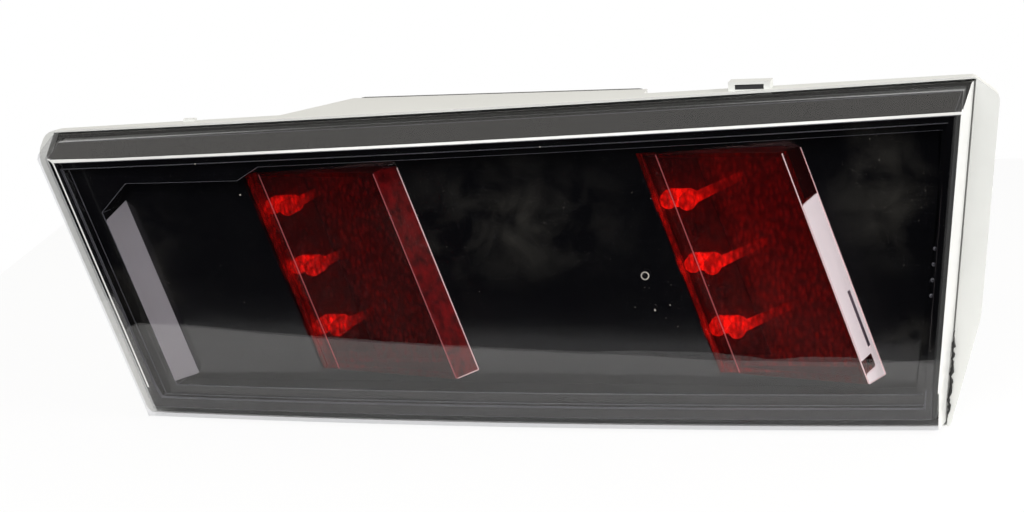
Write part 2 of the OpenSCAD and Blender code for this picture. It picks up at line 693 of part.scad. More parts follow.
// Ears beside a tray, at both of its long sides near the ends
function ear_places(ridge, ramp, out = 3 + slip + post_r) = [for (side = [-ramp - bar_lip - out, out],
        z = [bar_low + ear_end, top_z(ridge) - bar_drop - ear_end]) [bar_x(ridge, side, z), z]];
module mid_light_box() color([0.93, 0.93, 0.92]) placed() light_box(mid_ridge, mid_ramp);
module inboard_light_box() color([0.93, 0.93, 0.92]) placed() light_box(inboard_ridge, inboard_ramp);

module led_board(ridge, ramp) difference() {
    bar_ends(-4) along_bar(ridge) translate([-ramp - bar_lip - 3 + tray_wall + slip, board_front])
        square([bar_lip + 14, board_t]);
    each_board_post(ridge, ramp) rod(0, 0, board_front - 1, board_front + board_t + 1, screw_r + hole_gap);
}
module mid_led_board() color([0.9, 0.9, 0.88]) placed() led_board(mid_ridge, mid_ramp);
module inboard_led_board() color([0.9, 0.9, 0.88]) placed() led_board(inboard_ridge, inboard_ramp);
module leds(ridge, ramp) for (z = led_heights, side = [-1, 1])
    translate([bar_x(ridge, -ramp, z) + side * lobe_gap - led_side / 2, board_front - led_t, z - led_side / 2])
        cube([led_side, led_t, led_side]);
module mid_leds() color([0.9, 0.75, 0.2]) placed() leds(mid_ridge, mid_ramp);
module inboard_leds() color([0.9, 0.75, 0.2]) placed() leds(inboard_ridge, inboard_ramp);
module led_board_screws() color("silver") placed() for (b = bars)
    each_board_post(b[0], b[1]) screw(0, 0, board_front, tray_back - tray_wall - 1.5);
module light_box_screws() color("silver") placed() for (b = bars)
    for (e = ear_places(b[0], b[1])) screw(e.x, e.y, box_front + 3, panel_d + 1);
module bezel_screws() color("silver") placed()
    for (p = bezel_screw_places) screw(p.x, p.y, panel_back, panel_d - screw_grip + 1);
module panel_screws() color("silver") placed() for (p = post_places) screw(p.x, p.y, panel_d, panel_back + screw_grip);

module control_board() color([0.05, 0.3, 0.15]) placed() difference() {
    translate([board_x0, board_d, board_z0]) cube([board_w, board_t, board_h]);
    for (p = board_places) rod(p.x, p.y, board_d - 1, board_d + board_t + 1, screw_r + hole_gap);
}
board_places = [for (x = [board_x0 + board_hole_in, board_x0 + board_w - board_hole_in],
    z = [board_z0 + board_hole_in, board_z0 + board_h - board_hole_in]) [x, z]];
module board_screws() color("silver") placed()
    for (p = board_places) screw(p.x, p.y, board_d, board_d + board_t + screw_grip);
module control_parts() color([0.15, 0.15, 0.16]) placed() {
    for (i = [0:2]) translate([board_x0 + (i + 1) * chip_pitch, board_d - chip_t, board_z0 + chip_z])
        cube([chip_side, chip_t, chip_side]);
    for (i = [0:1]) rod(board_x0 + can_at[i], board_z0 + can_z, board_d - 2 * can_r, board_d, can_r);
    translate([board_x0 + coil_at.x, board_d - coil_t, board_z0 + coil_at.y]) cube([coil_side, coil_t, coil_side]);
}
lead_hole = [for (b = bars) bar_x(b[0], -b[1] + 10, led_mid_z)];
// A ring of points round a place, square to a direction
function ring(p, d, r, sides) =
    let (a = unit(cross(d, abs(d.z) > 0.9 ? [1, 0, 0] : [0, 0, 1])), b = cross(a, d))
    [for (k = [0:sides - 1]) p + r * (cos(360 * k / sides) * a + sin(360 * k / sides) * b)];
// A lead of round cable along a route of points, with its corners rounded
module cable(points) {
    sides = 8;
    bend = 3;
    route = [for (i = [0:len(points) - 1])
        each i == 0 || i == len(points) - 1 ? [points[i]] :
            let (p = points[i], a = p + bend * unit(points[i - 1] - p), b = p + bend * unit(points[i + 1] - p))
            [for (k = [0:4]) let (t = k / 4) (1 - t) * (1 - t) * a + 2 * t * (1 - t) * p + t * t * b]];
    n = len(route);
    rings = [for (i = [0:n - 1])
        let (u = i == 0 ? route[1] - route[0] : route[i] - route[i - 1],
            v = i == n - 1 ? u : route[i + 1] - route[i])
        each ring(route[i], unit(unit(u) + unit(v)), lead_r, sides)];
    polyhedron(rings, concat([[for (k = [0:sides - 1]) k]], [[for (k = [sides - 1:-1:0]) (n - 1) * sides + k]],
        [for (i = [0:n - 2], k = [0:sides - 1]) let (m = (k + 1) % sides)
            [i * sides + m, i * sides + k, (i + 1) * sides + k, (i + 1) * sides + m]]));
}
module mid_lead() color([0.1, 0.1, 0.1]) placed()
    cable([[lead_hole[0], board_front + board_t, led_mid_z], [lead_hole[0], inner_d, led_mid_z],
        [mid_lead_end.x, inner_d, mid_lead_end.y], [mid_lead_end.x, board_d, mid_lead_end.y]]);
module inboard_lead() color([0.1, 0.1, 0.1]) placed()
    cable([[lead_hole[1], board_front + board_t, led_mid_z], [lead_hole[1], inner_d, led_mid_z],
        [inboard_lead_turn, inner_d, led_mid_z], [inboard_lead_end.x, lead_d, inboard_lead_end.y],
        [inboard_lead_end.x, board_d, inboard_lead_end.y]]);

module rear_cover() color([0.1, 0.1, 0.1]) placed() difference() {
    union() {
        along_y(box_back + cover_seal_t, box_back + cover_seal_t + cover_t)
            polygon(rounded(cover_plan(0), even(cover_r)));
        for (p = board_places) rod(p.x, p.y, board_d + board_t, box_back + cover_seal_t, post_r);
    }
    for (p = cover_places) rod(p.x, p.y, box_back, box_back + 10, screw_r + hole_gap);
    for (p = board_places) rod(p.x, p.y, board_d, board_d + board_t + screw_grip + 1, screw_r + hole_gap);
    along_y(box_back - 1, box_back + 10) translate([socket_x - socket_w / 2, socket_z - socket_h / 2])
        square([socket_w, socket_h]);
}
function cover_plan(t) = [[-box_left + t, box_bottom + t], [-box_left + t, box_top - t],
    [box_right - t, box_top - t], [box_right - t, box_bottom + t]];
module cover_seal() color([0.15, 0.15, 0.15]) placed() difference() {
    along_y(box_back, box_back + cover_seal_t) polygon(rounded(cover_plan(0), even(cover_r)));
    along_y(box_back - 1, box_back + cover_seal_t + 1) polygon(cover_plan(box_wall));
}
module cover_screws() color("silver") placed() for (p = cover_places)
    screw(p.x, p.y, box_back + cover_seal_t + cover_t, box_back - 8);
module socket_shell() color([0.12, 0.12, 0.13]) placed() difference() {
    union() {
        translate([socket_x - socket_w / 2, socket_front - 4, socket_z - socket_h / 2])
            cube([socket_w, socket_len + 4, socket_h]);
        translate([socket_x - socket_w / 2 - 3, socket_front - socket_flange_t, socket_z - socket_h / 2 - 3])
            cube([socket_w + 6, socket_flange_t, socket_h + 6]);
        translate([socket_x - latch_w / 2, socket_front + latch_at, socket_z + socket_h / 2 - 1])
            cube([latch_w, latch_len, latch_h + 1]);
    }
    translate([socket_x - socket_w / 2 + socket_wall, socket_front + 3, socket_z - socket_h / 2 + socket_wall])
        cube([socket_w - 2 * socket_wall, socket_len, socket_h - 2 * socket_wall]);
    for (p = socket_pin_places) translate([p.x - 0.5, socket_front - 10, p.y - 0.5]) cube([1, 20, 1]);
}
socket_pin_places = [for (i = [0:pin_count - 1]) [socket_x + (i - (pin_count - 1) / 2) * 4.6, socket_z]];
module socket_pins() color([0.8, 0.7, 0.4]) placed() for (p = socket_pin_places)
    translate([p.x - 0.5, board_d + board_t, p.y - 0.5]) cube([1, socket_front + 14 - board_d - board_t, 1]);

module mounting_studs() color("silver") placed() for (p = stud_places) {
    rod(p.x, p.y, shell_inside - stud_head_t, shell_inside, stud_head_r);
    rod(p.x, p.y, shell_inside, mount_d, stud_neck_r);
    rod(p.x, p.y, mount_d, mount_d + stud_len, stud_r);
}
module body_gasket() color([0.2, 0.2, 0.2]) placed() difference() {
    translate([-box_left - gasket_w[0], shell_back, box_bottom - gasket_w[1]])
        cube([box_left + box_right + 2 * gasket_w[0], mount_d - shell_back, gasket_h]);
    rear_box(-slip, shell_back - 1, mount_d + 5);
}
module vent_caps() color([0.1, 0.1, 0.1]) placed() for (p = vent_places) {
    rod(p.x, p.y, shell_inside - 1, shell_back, vent_r);
    rod(p.x, p.y, shell_back, shell_back + 1.5 * vent_r, 2 * vent_r);
}
module side_locator() color([0.85, 0.85, 0.84]) placed() {
    x = right_x(locator_z) + flare_w + skirt_right - locator_in - locator_r;
    rod(x, locator_z, skirt_back, skirt_back + locator_len, locator_r);
    translate([x, skirt_back + locator_len, locator_z]) rotate([-90, 0, 0])
        cylinder(r1 = locator_r, r2 = locator_r / 2, h = locator_tip, $fn = round_fn);
}

outer_lens();
lens_seal();
housing();
bezel();
back_panel();
outboard_blade();
mid_blade();
inboard_blade();
mid_bar_lens();
inboard_bar_lens();
mid_collimators();
inboard_collimators();
mid_light_box();
inboard_light_box();
mid_led_board();
inboard_led_board();
mid_leds();
inboard_leds();
led_board_screws();
light_box_screws();
bezel_screws();
panel_screws();
control_board();
control_parts();
board_screws();
mid_lead();
inboard_lead();
socket_shell();
socket_pins();
rear_cover();
cover_seal();
cover_screws();
mounting_studs();
body_gasket();
vent_caps();
locating_clip();
side_locator();
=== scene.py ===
"""Looks of a sealed car tail light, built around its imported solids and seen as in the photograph."""

from __future__ import annotations

import logging
import math
import random
from dataclasses import dataclass, field

import bpy
from mathutils import Matrix, Vector

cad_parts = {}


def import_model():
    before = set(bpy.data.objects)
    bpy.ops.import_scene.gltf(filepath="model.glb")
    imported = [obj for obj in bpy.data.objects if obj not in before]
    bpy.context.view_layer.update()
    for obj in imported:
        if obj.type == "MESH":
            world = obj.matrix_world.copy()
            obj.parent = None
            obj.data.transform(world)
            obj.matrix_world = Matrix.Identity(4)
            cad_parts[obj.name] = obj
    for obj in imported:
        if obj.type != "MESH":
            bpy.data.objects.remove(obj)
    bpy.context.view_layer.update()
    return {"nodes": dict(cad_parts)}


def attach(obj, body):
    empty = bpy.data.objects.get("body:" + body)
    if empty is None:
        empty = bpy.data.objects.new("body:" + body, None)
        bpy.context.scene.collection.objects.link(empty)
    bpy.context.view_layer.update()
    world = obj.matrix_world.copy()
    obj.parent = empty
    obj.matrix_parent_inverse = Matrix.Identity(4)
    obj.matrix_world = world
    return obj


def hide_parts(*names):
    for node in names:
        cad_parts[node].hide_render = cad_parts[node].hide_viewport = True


LOG = logging.getLogger("tail_light")
MM = 0.001
IMAGE_WIDTH = 1024
ROOT = "root"
# Middle of the studs, seen from the lamp's own front: along the lamp, depth behind the front, and height
STUD_MIDDLE = (20.0, 70.0, 70.0)
# Radius of the curved front face, and the place along the lamp where it comes furthest forward
FACE_RADIUS = 2700.0
FACE_MIDDLE = 10.0
# Slope of the top edge, and lean of the light bars
TOP_SLOPE = math.tan(math.radians(1.65))
BAR_LEAN = math.radians(18.8)
WHITE = (1.0, 1.0, 1.0, 1.0)

Tree = bpy.types.NodeTree
Node = bpy.types.Node
Socket = bpy.types.NodeSocket
Material = bpy.types.Material
Piece = bpy.types.Object


def linear(hex_colour: str) -> tuple[float, float, float, float]:
    """Turns an sRGB hex colour into linear light.

    Args:
        hex_colour: Six hex digits, red first.

    Returns:
        Red, green and blue in linear light, and an alpha of one.
    """
    channels = [int(hex_colour[i : i + 2], 16) / 255 for i in (0, 2, 4)]
    red, green, blue = (c / 12.92 if c <= 0.04045 else ((c + 0.055) / 1.055) ** 2.4 for c in channels)
    return red, green, blue, 1.0


def at(along: float, depth: float, height: float) -> Vector:
    """Places a point given from the lamp's front, in millimetres, in the stud frame, in metres."""
    return (Vector((along, depth, height)) - Vector(STUD_MIDDLE)) * MM


def face_depth(along: float) -> float:
    """Returns how far the front face has curved away at a place along the lamp, in millimetres."""
    return (along - FACE_MIDDLE) ** 2 / (2 * FACE_RADIUS)


def put(tree: Tree, kind: str, inputs: dict | None = None, **settings) -> Node:
    """Adds one node to a tree.

    Args:
        tree: The node tree.
        kind: The node's type, without its prefix.
        inputs: Values or output sockets for the node's inputs, by name or number.
        settings: The node's own properties.

    Returns:
        The new node.
    """
    node = tree.nodes.new("ShaderNode" + kind)
    for name, value in settings.items():
        setattr(node, name, value)
    for name, value in (inputs or {}).items():
        if isinstance(value, Socket):
            tree.links.new(value, node.inputs[name])
        else:
            node.inputs[name].default_value = value
    return node


def maths(tree: Tree, operation: str, first: Socket, second: Socket | float) -> Socket:
    """Adds a calculation with two numbers to a tree and returns its result."""
    return put(tree, "Math", {0: first, 1: second}, operation=operation).outputs[0]


def vectors(tree: Tree, operation: str, first: Socket, second: Socket | tuple) -> Socket:
    """Adds a calculation with two vectors to a tree and returns its result."""
    return put(tree, "VectorMath", {0: first, 1: second}, operation=operation).outputs[0]


def noise(tree: Tree, place: Socket, scale: float, output: str = "Fac", **inputs: float) -> Socket:
    """Adds a cloud of noise to a tree, with its scale per millimetre, and returns one of its outputs."""
    return put(tree, "TexNoise", {"Vector": place, "Scale": scale, **inputs}).outputs[output]


def ranged(
    tree: Tree, value: Socket, low: float, high: float, start: float = 0.0, end: float = 1.0, **settings
) -> Socket:
    """Maps a value from one range to another, held to its ends.

    Args:
        tree: The node tree.
        value: The value.
        low: Value that gives the start.
        high: Value that gives the end.
        start: Result at the low value.
        end: Result at the high value.
        settings: The node's own properties.

    Returns:
        The mapped value.
    """
    limits = {"From Min": low, "From Max": high, "To Min": start, "To Max": end}
    return put(tree, "MapRange", {"Value": value, **limits}, **settings).outputs[0]


def tinted(tree: Tree, share: Socket, first: tuple, second: tuple) -> Socket:
    """Adds a mix of two colours to a tree and returns it."""
    return put(tree, "Mix", {0: share, 6: first, 7: second}, data_type="RGBA").outputs[2]


def mixed(tree: Tree, share: Socket | float, first: Node, second: Node) -> Node:
    """Adds a mix of two surfaces to a tree and returns its node."""
    return put(tree, "MixShader", {0: share, 1: first.outputs[0], 2: second.outputs[0]})


def emptied(owner: Material | bpy.types.World) -> Tree:
    """Returns the node tree of a new material or world, with nothing in it."""
    owner.use_nodes = True
    owner.node_tree.nodes.clear()
    return owner.node_tree


@dataclass(frozen=True)
class Finish:
    """A surface finish, named for what it is made of and how.

    Attributes:
        name: The material's name.
        colour: Its sRGB colour.
        roughness: How matt it is.
        metallic: One for bare metal and vacuum metal, zero for the rest.
        ior: Index of refraction.
        grain_mm: Size of the surface grain.
        grain_depth_mm: Depth of the grain.
        mottle: How far the colour varies over the piece.
        mottle_mm: Size of that variation.
        grained: Whether it has a grain.
        painted_glow: Painted light: an emission in the finish's own colour that stands in for light gathered
            inside a clear or white wall or caught on an edge, as a share of its colour.
    """

    name: str
    colour: str
    roughness: float
    metallic: float = 0.0
    ior: float = 1.5
    grain_mm: float = 1.0
    grain_depth_mm: float = 0.02
    mottle: float = 0.06
    mottle_mm: float = 33.0
    grained: bool = True
    painted_glow: float = 0.0

    def build(self) -> Material:
        """Builds the material and returns it."""
        material = bpy.data.materials.new(self.name)
        tree = emptied(material)
        place = put(tree, "TexCoord").outputs["Object"]
        surface = self.add_surface(tree, vectors(tree, "MULTIPLY", place, (1 / MM,) * 3))
        put(tree, "OutputMaterial", {"Surface": surface.outputs[0]})
        return material

    def add_surface(self, tree: Tree, place: Socket) -> Node:
        """Adds a surface with mottled colour, uneven gloss, a fine grain and any painted light of its own.

        Args:
            tree: The material's node tree.
            place: The piece's own place in millimetres.

        Returns:
            The surface's node.
        """
        cloud = noise(tree, place, 1 / self.mottle_mm, Detail=4.0)
        shade = ranged(tree, cloud, 0.25, 0.75, 1 - self.mottle, 1 + self.mottle)
        colour = put(
            tree, "VectorMath", {0: linear(self.colour)[:3], "Scale": shade}, operation="SCALE"
        )
        surface = put(
            tree,
            "BsdfPrincipled",
            {
                "Base Color": colour.outputs[0],
                "Roughness": ranged(tree, cloud, 0.0, 1.0, self.roughness * 0.8, self.roughness * 1.2),
                "Metallic": self.metallic,
                "IOR": self.ior,
                # Emission in the finish's own colour: painted light, zero but for the finishes that carry it.
                "Emission Color": linear(self.colour),
                "Emission Strength": self.painted_glow,
            },
        )
        if self.grained:
            grain = noise(tree, place, 1 / self.grain_mm, Detail=2.0)
            depth = self.grain_depth_mm * MM
            bump = put(tree, "Bump", {"Height": grain, "Distance": depth, "Strength": 1.0})
            tree.links.new(bump.outputs[0], surface.inputs["Normal"])
        return surface


def face_share(tree: Tree, straight: float) -> Socket:
    """Adds the share of light that a polished face turns back, from a right angle's share up to one."""
    facing = put(tree, "LayerWeight", {"Blend": 0.5}).outputs["Facing"]
    grazing = maths(tree, "POWER", facing, 5.0)
    return ranged(tree, grazing, 0.0, 1.0, straight, 1.0)


@dataclass(frozen=True)
class Smear:
    """A patch of handling dirt on the front face, in millimetres from the studs' middle."""

    centre: tuple[float, float, float]
    reach: tuple[float, float, float]


@dataclass(frozen=True)
class ClearAcrylic(Finish):
    """Injection moulded clear PMMA: sharp reflections, with a thin film of handling dirt.

    Attributes:
        film_colour: Colour of the dirt.
        film: The most that the dirt covers.
        everywhere: Share of that dirt outside the smears.
        straight_share: Share of light that a face turns back at a right angle.
        smears: Where the dirt is thickest.
    """

    film_colour: str = "98948A"
    film: float = 0.05
    everywhere: float = 0.05
    straight_share: float = 0.04
    smears: tuple[Smear, ...] = ()

    def dirt_cover(self, tree: Tree, place: Socket) -> Socket:
        """Adds the share of the face that dirt covers: faint everywhere, and thicker in the smears."""
        streak = noise(tree, place, 0.045, Detail=5.0, Roughness=0.62, Distortion=0.5)
        broken = ranged(tree, streak, 0.42, 0.7)
        cover = maths(tree, "MULTIPLY", broken, self.everywhere)
        for smear in self.smears:
            away = vectors(tree, "SUBTRACT", place, smear.centre)
            near = vectors(tree, "MULTIPLY", away, tuple(1 / reach for reach in smear.reach))
            length = put(tree, "VectorMath", {0: near}, operation="LENGTH").outputs["Value"]
            patch = ranged(tree, length, 1.0, 0.2)
            cover = maths(tree, "ADD", cover, maths(tree, "MULTIPLY", patch, broken))
        return maths(tree, "MULTIPLY", cover, self.film)

    def add_surface(self, tree: Tree, place: Socket) -> Node:
        """Adds a clear wall with two polished faces and a broken film of dirt."""
        through = put(tree, "BsdfTransparent", {"Color": linear(self.colour)})
        mirror = put(tree, "BsdfGlossy", {"Color": WHITE, "Roughness": self.roughness})
        wall = mixed(tree, face_share(tree, self.straight_share), through, mirror)
        dirt = put(tree, "BsdfDiffuse", {"Color": linear(self.film_colour)})
        return mixed(tree, self.dirt_cover(tree, place), wall, dirt)


@dataclass(frozen=True)
class RedAcrylic(Finish):
    """Moulded red PMMA over small random optics, which break the light into flecks.

    Attributes:
        dark_colour: Tint where the optics turn the light away.
        fleck_mm: Size of one optic.
        fleck_depth_mm: Depth of its surface.
        haze: Share of the light that the wall itself scatters.
        haze_colour: Colour of that light.
        sheen_colour: Colour of the light that the face turns back.
        straight_share: Share of light that the face turns back at a right angle.
    """

    dark_colour: str = "AA342C"
    fleck_mm: float = 2.0
    fleck_depth_mm: float = 0.05
    haze: float = 0.04
    haze_colour: str = "9A0C0C"
    sheen_colour: str = "E0A8A4"
    straight_share: float = 0.02

    def add_surface(self, tree: Tree, place: Socket) -> Node:
        """Adds a red filter with flecks, a glossy face and a little scatter."""
        along_bar = {"Vector": place, "Rotation": (0.0, BAR_LEAN, 0.0), "Scale": (1.0, 1.0, 0.5)}
        leaning = put(tree, "Mapping", along_bar).outputs[0]
        bent = vectors(tree, "ADD", leaning, noise(tree, leaning, 0.25, "Color", Detail=3.0))
        optics = {"Vector": bent, "Scale": 1 / self.fleck_mm, "Randomness": 1.0}
        fleck = put(tree, "TexVoronoi", optics, feature="F1").outputs["Distance"]
        tint = tinted(tree, ranged(tree, fleck, 0.2, 0.75), linear(self.colour), linear(self.dark_colour))
        depth = self.fleck_depth_mm * MM
        bump = put(tree, "Bump", {"Height": fleck, "Distance": depth, "Strength": 0.3})
        filtered = put(tree, "BsdfTransparent", {"Color": tint})
        sheen = {"Color": linear(self.sheen_colour), "Roughness": self.roughness, "Normal": bump.outputs[0]}
        mirror = put(tree, "BsdfGlossy", sheen)
        wall = mixed(tree, face_share(tree, self.straight_share), filtered, mirror)
        scatter = put(tree, "BsdfDiffuse", {"Color": linear(self.haze_colour)})
        return mixed(tree, self.haze, wall, scatter)


@dataclass(frozen=True)
class PaintedLightGuide(Finish):
    """Clear light guide with painted light: an emission, brightest at its lobes and fading along its fan,
    stands in for the room's light that it gathers, and a darker colour between its rows is painted shade.

    Attributes:
        crease_mm: Place of the bar's crease at the studs' middle height.
        bright: Strength of the painted light at the lobes.
        dim: Strength of the painted light at the fan's far end.
        lobe_mm: Where the lobes end and the light starts to fade.
        fan_mm: Where the fan ends.
        climb_mm: Where the fan starts to climb.
        row_mm: Height of the middle pair of lobes above the studs' middle.
        fan_top_mm: Height of that pair's fan at its far end.
        row_reach_mm: Distances from a row at which the light has ended, and starts to end.
        pitch_mm: Spacing of the pairs.
        dark_colour: Colour of the guide between the rows: painted shade.
    """

    crease_mm: float = 0.0
    bright: float = 2.3
    dim: float = 0.2
    lobe_mm: float = 7.0
    fan_mm: float = 26.0
    climb_mm: float = 4.0
    row_mm: float = 1.5
    fan_top_mm: float = 9.5
    row_reach_mm: tuple[float, float] = (7.0, 4.5)
    pitch_mm: float = 31.0
    dark_colour: str = "4A2C2A"

    def add_surface(self, tree: Tree, place: Socket) -> Node:
        """Adds a glossy optic whose painted light fades away from the lobes, with painted shade between the
        rows.
        """
        axes = put(tree, "SeparateXYZ", {0: place}).outputs
        lean = maths(tree, "MULTIPLY", axes["Z"], math.tan(BAR_LEAN))
        across = maths(tree, "SUBTRACT", maths(tree, "ADD", axes["X"], lean), self.crease_mm)
        uneven = ranged(tree, noise(tree, place, 0.22, Detail=3.0), 0.3, 0.7, 0.55, 1.3)
        ends = (self.lobe_mm, self.fan_mm, self.bright, self.dim)
        fade = ranged(tree, across, *ends, interpolation_type="SMOOTHERSTEP")
        patchy = maths(tree, "MULTIPLY", fade, uneven)
        climb = ranged(tree, across, self.climb_mm, self.fan_mm, self.row_mm, self.fan_top_mm)
        rise = maths(tree, "SUBTRACT", axes["Z"], climb)
        lit = ranged(tree, maths(tree, "PINGPONG", rise, self.pitch_mm / 2), *self.row_reach_mm)
        # Emission, and a darker colour between the rows: painted light and painted shade.
        return put(
            tree,
            "BsdfPrincipled",
            {
                "Base Color": tinted(tree, lit, linear(self.dark_colour), linear(self.colour)),
                "Roughness": self.roughness,
                "IOR": self.ior,
                "Emission Color": linear(self.colour),
                "Emission Strength": maths(tree, "MULTIPLY", patchy, lit),
            },
        )


# Handling dirt: a broad wipe between the bars, and finger marks near the inboard end
DIRT = (
    Smear((-5.0, -69.0, 30.0), (70.0, 12.0, 34.0)),
    Smear((166.0, -64.0, 40.0), (26.0, 12.0, 40.0)),
    Smear((177.0, -63.5, -27.0), (16.0, 12.0, 14.0)),
    Smear((-192.0, -62.0, 6.0), (24.0, 12.0, 44.0)),
)
# Injection moulded PMMA lens, polished in the mould: clear, with sharp reflections
LENS_ACRYLIC = ClearAcrylic("clear_acrylic", "F7F7F8", 0.0, film=0.045, smears=DIRT)
# Folded edges and end wall of that lens, seen along the wall: a painted highlight, a pale glowing colour that
# stands in for the light the wall gathers, almost white
LENS_EDGE_HIGHLIGHT = Finish("lens_edge_painted_highlight", "DADAD8", 0.12, ior=1.49, grain_mm=8.0, grain_depth_mm=0.02, painted_glow=0.12)
# PC-ABS shell, lightly spark eroded: pale grey and even
SHELL_PLASTIC = Finish("pale_pc_abs", "E2E3E0", 0.42, grain_mm=0.9, grain_depth_mm=0.015, mottle=0.02)
# Bezel moulded in black PC with a polished face: piano black, a little uneven in its gloss
BEZEL_PLASTIC = Finish("gloss_black_pc", "0A0A0C", 0.12, ior=1.58, mottle=0.4, grained=False)
# Its moulded edges: a painted highlight, a grey glowing colour that draws the light they catch as thin grey
# lines
BEZEL_EDGE_HIGHLIGHT = Finish("bezel_edge_painted_highlight", "606066", 0.25, ior=1.58, grained=False, painted_glow=0.05)
# Back panel of the same black, a little less polished
PANEL_PLASTIC = Finish("panel_black_pc", "09090B", 0.14, ior=1.58, grain_mm=14.0, grain_depth_mm=0.02)
# Vacuum metal with a satin top coat: soft grey, never a clear mirror; a faint emission on it is painted light
SATIN_METAL = Finish(
    "satin_vacuum_metal", "AAA5AA", 0.38, metallic=0.3, grain_mm=1.6, grain_depth_mm=0.03, painted_glow=0.1
)
# Silvered acrylic prism, almost white; its strong emission is painted light that stands in for the room's
# light it sends forwards
PAINTED_BRIGHT_SILVER = Finish("silvered_acrylic_painted_sheen", "EFE0E2", 0.2, grain_mm=6.0, grain_depth_mm=0.02, painted_glow=0.5)
# Back wall inside the blades: painted shade, a dark colour where the recess lies in shade
BLADE_RECESS_SHADE = Finish("blade_recess_painted_shade", "4A4650", 0.5)
# Dark red blade, dyed through and polished, with small optics on its face; a faint emission on it is painted
# light
RED_PLASTIC = Finish(
    "dark_red_pc", "6C060A", 0.35, 0.0, 1.3, 2.0, 0.08, mottle=0.95, mottle_mm=5.0, painted_glow=0.1
)
# Red PMMA bar lenses: deep filters with small flecks, the middle one deeper
DEEP_RED_LENS = RedAcrylic("deep_red_acrylic", "C43C34", 0.3, dark_colour="8E2A24")
RED_LENS = RedAcrylic("red_acrylic", "D8463C", 0.3)
# Painted glints on the edges of the red parts: thin rods in pale glowing colours that draw the light the
# edges gather as thin pale lines
PALE_EDGE_GLINT = Finish("pale_edge_painted_glint", "E6C4C4", 0.2, grained=False, painted_glow=0.35)
DIM_EDGE_GLINT = Finish("red_edge_painted_glint", "A45456", 0.2, grained=False, painted_glow=0.25)
# White PBT trays that throw the light forwards
TRAY_PLASTIC = Finish("white_pbt", "E6E6E2", 0.5, grain_depth_mm=0.01)
# Solder resist over fibreglass: smooth, with a faint sheen. The light boards' white resist is drawn grey,
# painted shade for the dim cavity where they look dark between the lobes
BOARD_PAINTED_SHADE = Finish("white_resist_painted_shade", "6A6864", 0.45, grained=False)
GREEN_RESIST = Finish("green_solder_resist", "1C5A36", 0.35, grained=False)
# Yellow phosphor in clear silicone
LED_PACKAGE = Finish("led_phosphor", "E8C24A", 0.3, grained=False)
# Moulded epoxy bodies: matt near-black
CHIP_RESIN = Finish("black_epoxy", "202022", 0.45, grain_mm=0.4)
# Bright zinc on turned steel, with faint tool marks
ZINC_STEEL = Finish("zinc_plated_steel", "C9CBCC", 0.28, metallic=1.0, grain_mm=1.5, grain_depth_mm=0.01)
# Extruded PVC jacket: matt and slightly dusty
CABLE_PVC = Finish("black_pvc", "17171A", 0.45)
# Nylon mouldings: black with a fine spark grain
DARK_PLASTIC = Finish("black_pa66", "1D1D20", 0.5, grain_mm=0.7, grain_depth_mm=0.02)
# Stamped and tinned contacts
CONTACT_BRASS = Finish("tinned_brass", "C9B57C", 0.25, metallic=1.0, grained=False)
# Moulded EPDM: matt and slightly pitted
SEAL_RUBBER = Finish("epdm_rubber", "1A1A1B", 0.7, grain_mm=1.2, grain_depth_mm=0.05)
# Butyl laid warm from a gun: black, with a lumpy skin
SEALANT = Finish("butyl_sealant", "141414", 0.55, grain_mm=2.5, grain_depth_mm=0.25)
# Closed-cell EPDM foam: matt, with open pits on its cut faces
FOAM = Finish("closed_cell_foam", "2A2B2D", 0.9, grain_mm=0.9, grain_depth_mm=0.25)
# Dust and lint, pale and matt
DUST = Finish("house_dust", "B8B2A8", 0.9, grain_mm=0.3, grain_depth_mm=0.05)


def added(name: str, data: bpy.types.ID) -> Piece:
    """Adds an object to the scene."""
    piece = bpy.data.objects.new(name, data)
    bpy.context.scene.collection.objects.link(piece)
    return piece


def only(*pieces: Piece) -> None:
    """Selects some pieces and nothing else, and makes the first one active."""
    bpy.ops.object.select_all(action="DESELECT")
    for piece in pieces:
        piece.select_set(True)
    bpy.context.view_layer.objects.active = pieces[0]


def settle(piece: Piece) -> Piece:
    """Puts a piece's place, turn and size into its mesh."""
    only(piece)
    bpy.ops.object.transform_apply(location=True, rotation=True, scale=True)
    return piece


def joined(name: str, pieces: list[Piece]) -> Piece:
    """Joins pieces into one and names it.

    Args:
        name: The new piece's name.
        pieces: The pieces, each with its own mesh.

    Returns:
        The joined piece.
    """
    only(*pieces)
    if len(pieces) > 1:
        bpy.ops.object.join()
    piece = bpy.context.view_layer.objects.active
    piece.name = name
    return settle(piece)


def copied(piece: Piece, place: Vector) -> Piece:
    """Copies a piece with its own mesh and moves the copy's mesh to a place."""
    copy = added(piece.name, piece.data.copy())
    copy.data.transform(Matrix.Translation(place))
    return copy


